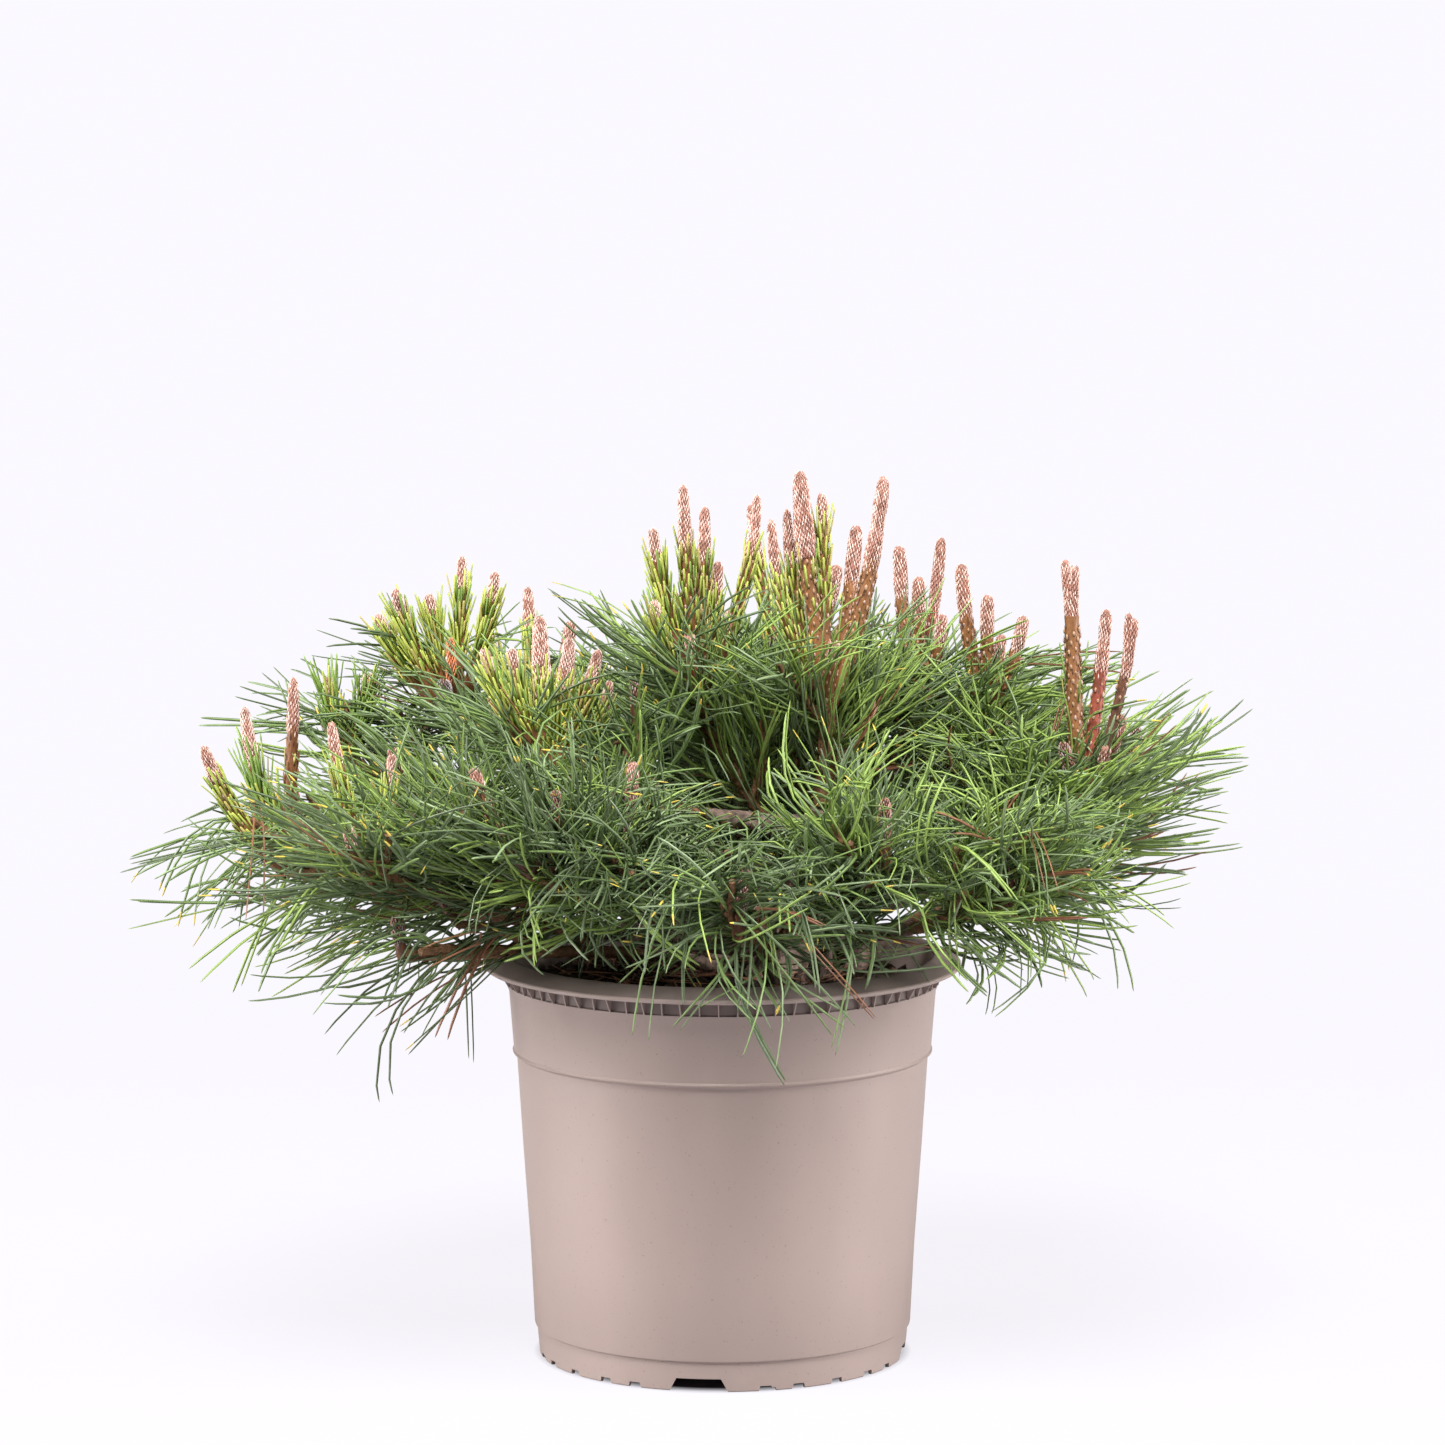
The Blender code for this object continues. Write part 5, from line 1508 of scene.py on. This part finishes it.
class MUGO_OT_candles(bpy.types.Operator):
    """Candles on every whorl, small buds at the twigs' ends, and the candles' new needles"""
    bl_idname = "mugo.candles"
    bl_label = "Candles"

    def execute(self, context):
        settings = context.scene.mugo_candles
        made = Candles(settings)
        pick = random.Random(SEEDS["buds"])
        for branch, _ends, _root, candles, shoots in grown(context):
            look = LOOKS[branch.name]
            for number, line in enumerate(candles):
                made.add(part_of(line, GROWN.get((branch.name, number), 1.0)),
                         STYLES[look.styles[number]])
            for name, lean, length, depth, style in BESIDE:
                if name == branch.name:
                    made.add(beside_line(branch, lean, length, depth), STYLES[style], scale=0.9)
            for shoot in shoots:
                if shoot.rank == 0 or pick.random() > BUD_SHARES[shoot.rank]:
                    continue
                heading = curve_speed(shoot.ends, 1).normalized()
                start = shoot.ends[2] - heading * 0.001
                end = start + (heading * 0.5 + up(0.9)).normalized() * pick.uniform(*BUD_LENGTH)
                line = (start, start.lerp(end, 0.5) + heading * 0.002, end)
                made.add(line, STYLES[pick.choice(("bud", "rosy", "bud"))],
                         scale=pick.uniform(0.7, 0.9))
        finishes = self.finishes(settings)
        add_piece("candle_shafts", mesh_from(made.limbs, "shafts"), finishes["limbs"],
                  smooth_below=50)
        add_piece("candle_wool", made.strands.mesh("wool"), finishes["wool"])
        add_piece("candle_scales", made.scales.mesh("scales", smooth=False), finishes["scales"])
        add_piece("candle_dots", made.dots.mesh("dots"), finishes["dots"])
        rows = made.new.stacked()
        rows["stout"] = np.full(len(rows["root"]), 1.08)
        width = context.scene.mugo_needles.new_width
        mesh = needle_mesh("candle_needles", rows, width, 4, (0, 1, 2, 3), 0)
        add_piece("candle_needles", mesh, finishes["new"])
        return {"FINISHED"}

    def finishes(self, settings):
        """The finishes of each kind of piece, in the order of its slots."""
        def tones(*rows, **shared):
            return [toned(name, colour, low, high, roughness=rough, contrast=3.0, **shared)
                    for name, colour, low, high, rough in rows]

        russet, amber, dark = settings.russet, settings.amber, settings.dark
        shafts = [(f"shaft_{name}", getattr(settings, name), 0.72, 1.28, 0.5) for name in SHAFTS]
        return {
            "limbs": tones(*shafts, scale=240.0, bump=0.5, grain=(1, 1, 0.3))
            + tones(("wool_shade", shade(settings.rose, 0.72), 0.72, 1.28, 0.9),
                    ("orange_shade", russet, 0.72, 1.28, 0.9),
                    ("bud_shade", shade(dark, 0.5), 0.72, 1.28, 0.9), scale=240.0),
            "wool": tones(("wool_pale", settings.wool, 0.88, 1.1, 0.9),
                          ("wool_pink", settings.pink, 0.85, 1.15, 0.9),
                          ("wool_rose", settings.rose, 0.8, 1.2, 0.85),
                          ("wool_orange", (0.78, 0.27, 0.12), 0.8, 1.2, 0.8),
                          ("wool_grey", (0.40, 0.36, 0.36), 0.7, 1.3, 0.9), scale=240.0),
            "scales": tones(("scale_brown", russet, 0.6, 1.1, 0.6),
                            ("scale_amber", amber, 0.8, 1.3, 0.55),
                            ("scale_dark", dark, 0.6, 1.2, 0.6), scale=240.0),
            "dots": tones(("dot_pale", (0.40, 0.235, 0.140), 0.8, 1.2, 0.6),
                          ("dot_rose", settings.pink, 0.6, 0.9, 0.6), scale=240.0),
            "new": tones(("new_lime", bpy.context.scene.mugo_needles.new, 0.86, 1.14, 0.45),
                         ("new_green", (0.22, 0.34, 0.070), 0.86, 1.14, 0.45),
                         ("new_yellow", (0.46, 0.39, 0.12), 0.9, 1.1, 0.45),
                         ("new_rust", russet, 0.9, 1.4, 0.5), scale=120.0),
        }


class MUGO_OT_litter(bpy.types.Operator):
    """Dead needles strewn on the soil"""
    bl_idname = "mugo.litter"
    bl_label = "Litter"

    def execute(self, context):
        rng = np.random.default_rng(SEEDS["litter"])
        _radius, across = strewn(rng, LITTER, LITTER_REACH)
        level = context.scene.mugo_pot.soil_level
        root = np.stack([*across, level + 0.003 + 0.003 * rng.random(LITTER)], axis=1)
        way = unit(rng.normal(size=(LITTER, 3)) * (1, 1, 0.12))
        rows = {"root": root, "way": way, "bend": rng.normal(0, 0.3, (LITTER, 3)) * (1, 1, 0.3),
                "hook": rng.normal(0, 0.3, (LITTER, 3)) * (1, 1, 0.2),
                "length": rng.uniform(*LITTER_LENGTH, LITTER),
                "out": np.broadcast_to((0.0, 0.0, 1.0), (LITTER, 3)),
                "slot": np.zeros(LITTER, int), "tipped": np.zeros(LITTER, bool),
                "stout": np.full(LITTER, 0.95)}
        points, _headings = needle_lines(rows, 5)
        flat = np.hypot(points[..., 0], points[..., 1]).max(axis=1) < KEPT_CLEAR[0]
        keep = flat & (points[..., 2].min(axis=1) > level + 0.001)
        rows = {key: values[keep] for key, values in rows.items()}
        mesh = needle_mesh("litter", rows, LITTER_WIDTH, 5, (1, 1), 1)
        dead = context.scene.mugo_needles.dead
        finishes = [toned("litter_red", dead, 0.6, 1.5, 60.0, 0.6, contrast=4.0),
                    finish("litter_straw", (0.30, 0.19, 0.10), (0.46, 0.31, 0.17), 60.0, 0.6)]
        add_piece("litter", mesh, finishes)
        return {"FINISHED"}


# Stage

class MUGO_OT_stage(bpy.types.Operator):
    """Pale floor, soft light from all round and the photograph's camera"""
    bl_idname = "mugo.stage"
    bl_label = "Stage"

    def execute(self, context):
        stage = context.scene.mugo_stage
        scene = context.scene
        scene.view_settings.view_transform = "Standard"
        scene.view_settings.look = "None"
        backdrop = tuple(stage.backdrop)
        self.floor(stage, backdrop)
        self.surroundings(stage, backdrop)
        for name, place, share in LAMPS:
            lamp = bpy.data.lights.new(name, "AREA")
            lamp.energy = stage.key * share
            lamp.size = LAMP_SIZE
            light = bpy.data.objects.new(name, lamp)
            light.location = place
            aim = Vector((0, 0, 0.2)) - Vector(place)
            light.rotation_euler = aim.to_track_quat("-Z", "Y").to_euler()
            scene.collection.objects.link(light)
        lens = bpy.data.cameras.new("camera")
        lens.lens = stage.lens
        lens.sensor_width = 36.0
        lens.clip_end = 100.0
        camera = bpy.data.objects.new("camera", lens)
        camera.location = (0.0, -stage.camera_back, stage.camera_height)
        camera.rotation_euler = (math.pi / 2 - stage.camera_pitch, 0.0, 0.0)
        scene.collection.objects.link(camera)
        scene.camera = camera
        return {"FINISHED"}

    def surroundings(self, stage, backdrop):
        """The backdrop as the camera sees it, and softer light from all round."""
        world = bpy.data.worlds.new("surroundings")
        world.use_nodes = True
        tree = world.node_tree
        seen = tree.nodes["Background"]
        seen.inputs["Color"].default_value = (*backdrop, 1)
        soft = new_node(tree, "Background", {"Color": (*backdrop, 1), "Strength": stage.fill})
        path = new_node(tree, "LightPath")
        mix = new_node(tree, "MixShader")
        wire(tree, (path, "Is Camera Ray", mix, "Fac"), (soft, "Background", mix, 1),
             (seen, "Background", mix, 2),
             (mix, "Shader", tree.nodes["World Output"], "Surface"))
        bpy.context.scene.world = world

    def floor(self, stage, backdrop):
        """A wide disc: white round the pot with a painted shadow beneath the pot, and as bright as
        its surroundings far out.
        """
        bm = bmesh.new()
        bmesh.ops.create_circle(bm, cap_ends=True, segments=96, radius=stage.floor_radius)
        floor = bpy.data.objects.new("floor", mesh_from(bm, "floor"))
        made = bpy.data.materials.new("floor")
        made.use_nodes = True
        tree = made.node_tree
        shader = tree.nodes["Principled BSDF"]
        for socket, value in (("Roughness", 0.9), ("Specular IOR Level", 0.0),
                              ("Emission Strength", 1.0)):
            shader.inputs[socket].default_value = value
        where = new_node(tree, "TexCoord")
        far = new_node(tree, "VectorMath", operation="LENGTH")
        away = new_node(tree, "MapRange", {"From Min": 0.25, "From Max": 1.6},
                        interpolation_type="SMOOTHSTEP")
        # Painted shadow: inside this radius, under the pot, the floor is darker and gives no light.
        painted_shadow = new_node(tree, "MapRange", {"From Min": 0.080, "From Max": 0.092})
        wire(tree, (where, "Object", far, 0), (far, "Value", away, "Value"),
             (far, "Value", painted_shadow, "Value"))
        # The first colour of each pair, dark, is the painted shadow under the pot.
        for socket, dark, near_colour, far_colour in (
                ("Base Color", (0.20, 0.19, 0.22), (0.06, 0.058, 0.062), (0.0, 0.0, 0.0)),
                ("Emission Color", (0.0, 0.0, 0.0), (0.86, 0.845, 0.89), backdrop)):
            near = new_node(tree, "Mix", {"A": (*dark, 1), "B": (*near_colour, 1)},
                            data_type="RGBA")
            mix = new_node(tree, "Mix", {"B": (*far_colour, 1)}, data_type="RGBA")
            wire(tree, (painted_shadow, "Result", near, "Factor"), (near, "Result", mix, "A"),
                 (away, "Result", mix, "Factor"), (mix, "Result", shader, socket))
        path = new_node(tree, "LightPath")
        bounce = new_node(tree, "BsdfDiffuse", {"Color": (0.33, 0.324, 0.342, 1)})
        shown = new_node(tree, "MixShader")
        wire(tree, (path, "Is Camera Ray", shown, "Fac"), (bounce, "BSDF", shown, 1),
             (shader, "BSDF", shown, 2),
             (shown, "Shader", tree.nodes["Material Output"], "Surface"))
        floor.data.materials.append(made)
        bpy.context.scene.collection.objects.link(floor)


# Panel and registration

OPERATORS = (MUGO_OT_pot, MUGO_OT_soil, MUGO_OT_wood, MUGO_OT_twigs, MUGO_OT_candles,
             MUGO_OT_needles, MUGO_OT_litter, MUGO_OT_stage)
SETTINGS = {"mugo_pot": PotSettings, "mugo_wood": WoodSettings, "mugo_candles": CandleSettings,
            "mugo_needles": NeedleSettings, "mugo_stage": StageSettings}


class MUGO_PT_panel(bpy.types.Panel):
    """Lists the plant's pieces and their settings"""
    bl_idname = "MUGO_PT_panel"
    bl_label = "Mugo pine"
    bl_space_type = "VIEW_3D"
    bl_region_type = "UI"
    bl_category = "Mugo Pine"

    def draw(self, context):
        for operator in OPERATORS:
            self.layout.operator(operator.bl_idname)
        for name, group in SETTINGS.items():
            box = self.layout.box()
            for setting in group.__annotations__:
                box.prop(getattr(context.scene, name), setting)


def register():
    for group in SETTINGS.values():
        bpy.utils.register_class(group)
    for name, group in SETTINGS.items():
        setattr(bpy.types.Scene, name, PointerProperty(type=group))
    for operator in OPERATORS + (MUGO_PT_panel,):
        bpy.utils.register_class(operator)


def unregister():
    for operator in (MUGO_PT_panel,) + OPERATORS[::-1]:
        bpy.utils.unregister_class(operator)
    for name, group in SETTINGS.items():
        delattr(bpy.types.Scene, name)
        bpy.utils.unregister_class(group)


def main():
    register()
    mottle_group()
    bpy.ops.mugo.pot()
    bpy.ops.mugo.soil()
    bpy.ops.mugo.wood()
    bpy.ops.mugo.twigs()
    bpy.ops.mugo.candles()
    bpy.ops.mugo.needles()
    bpy.ops.mugo.litter()
    bpy.ops.mugo.stage()


if __name__ == "__main__":
    main()
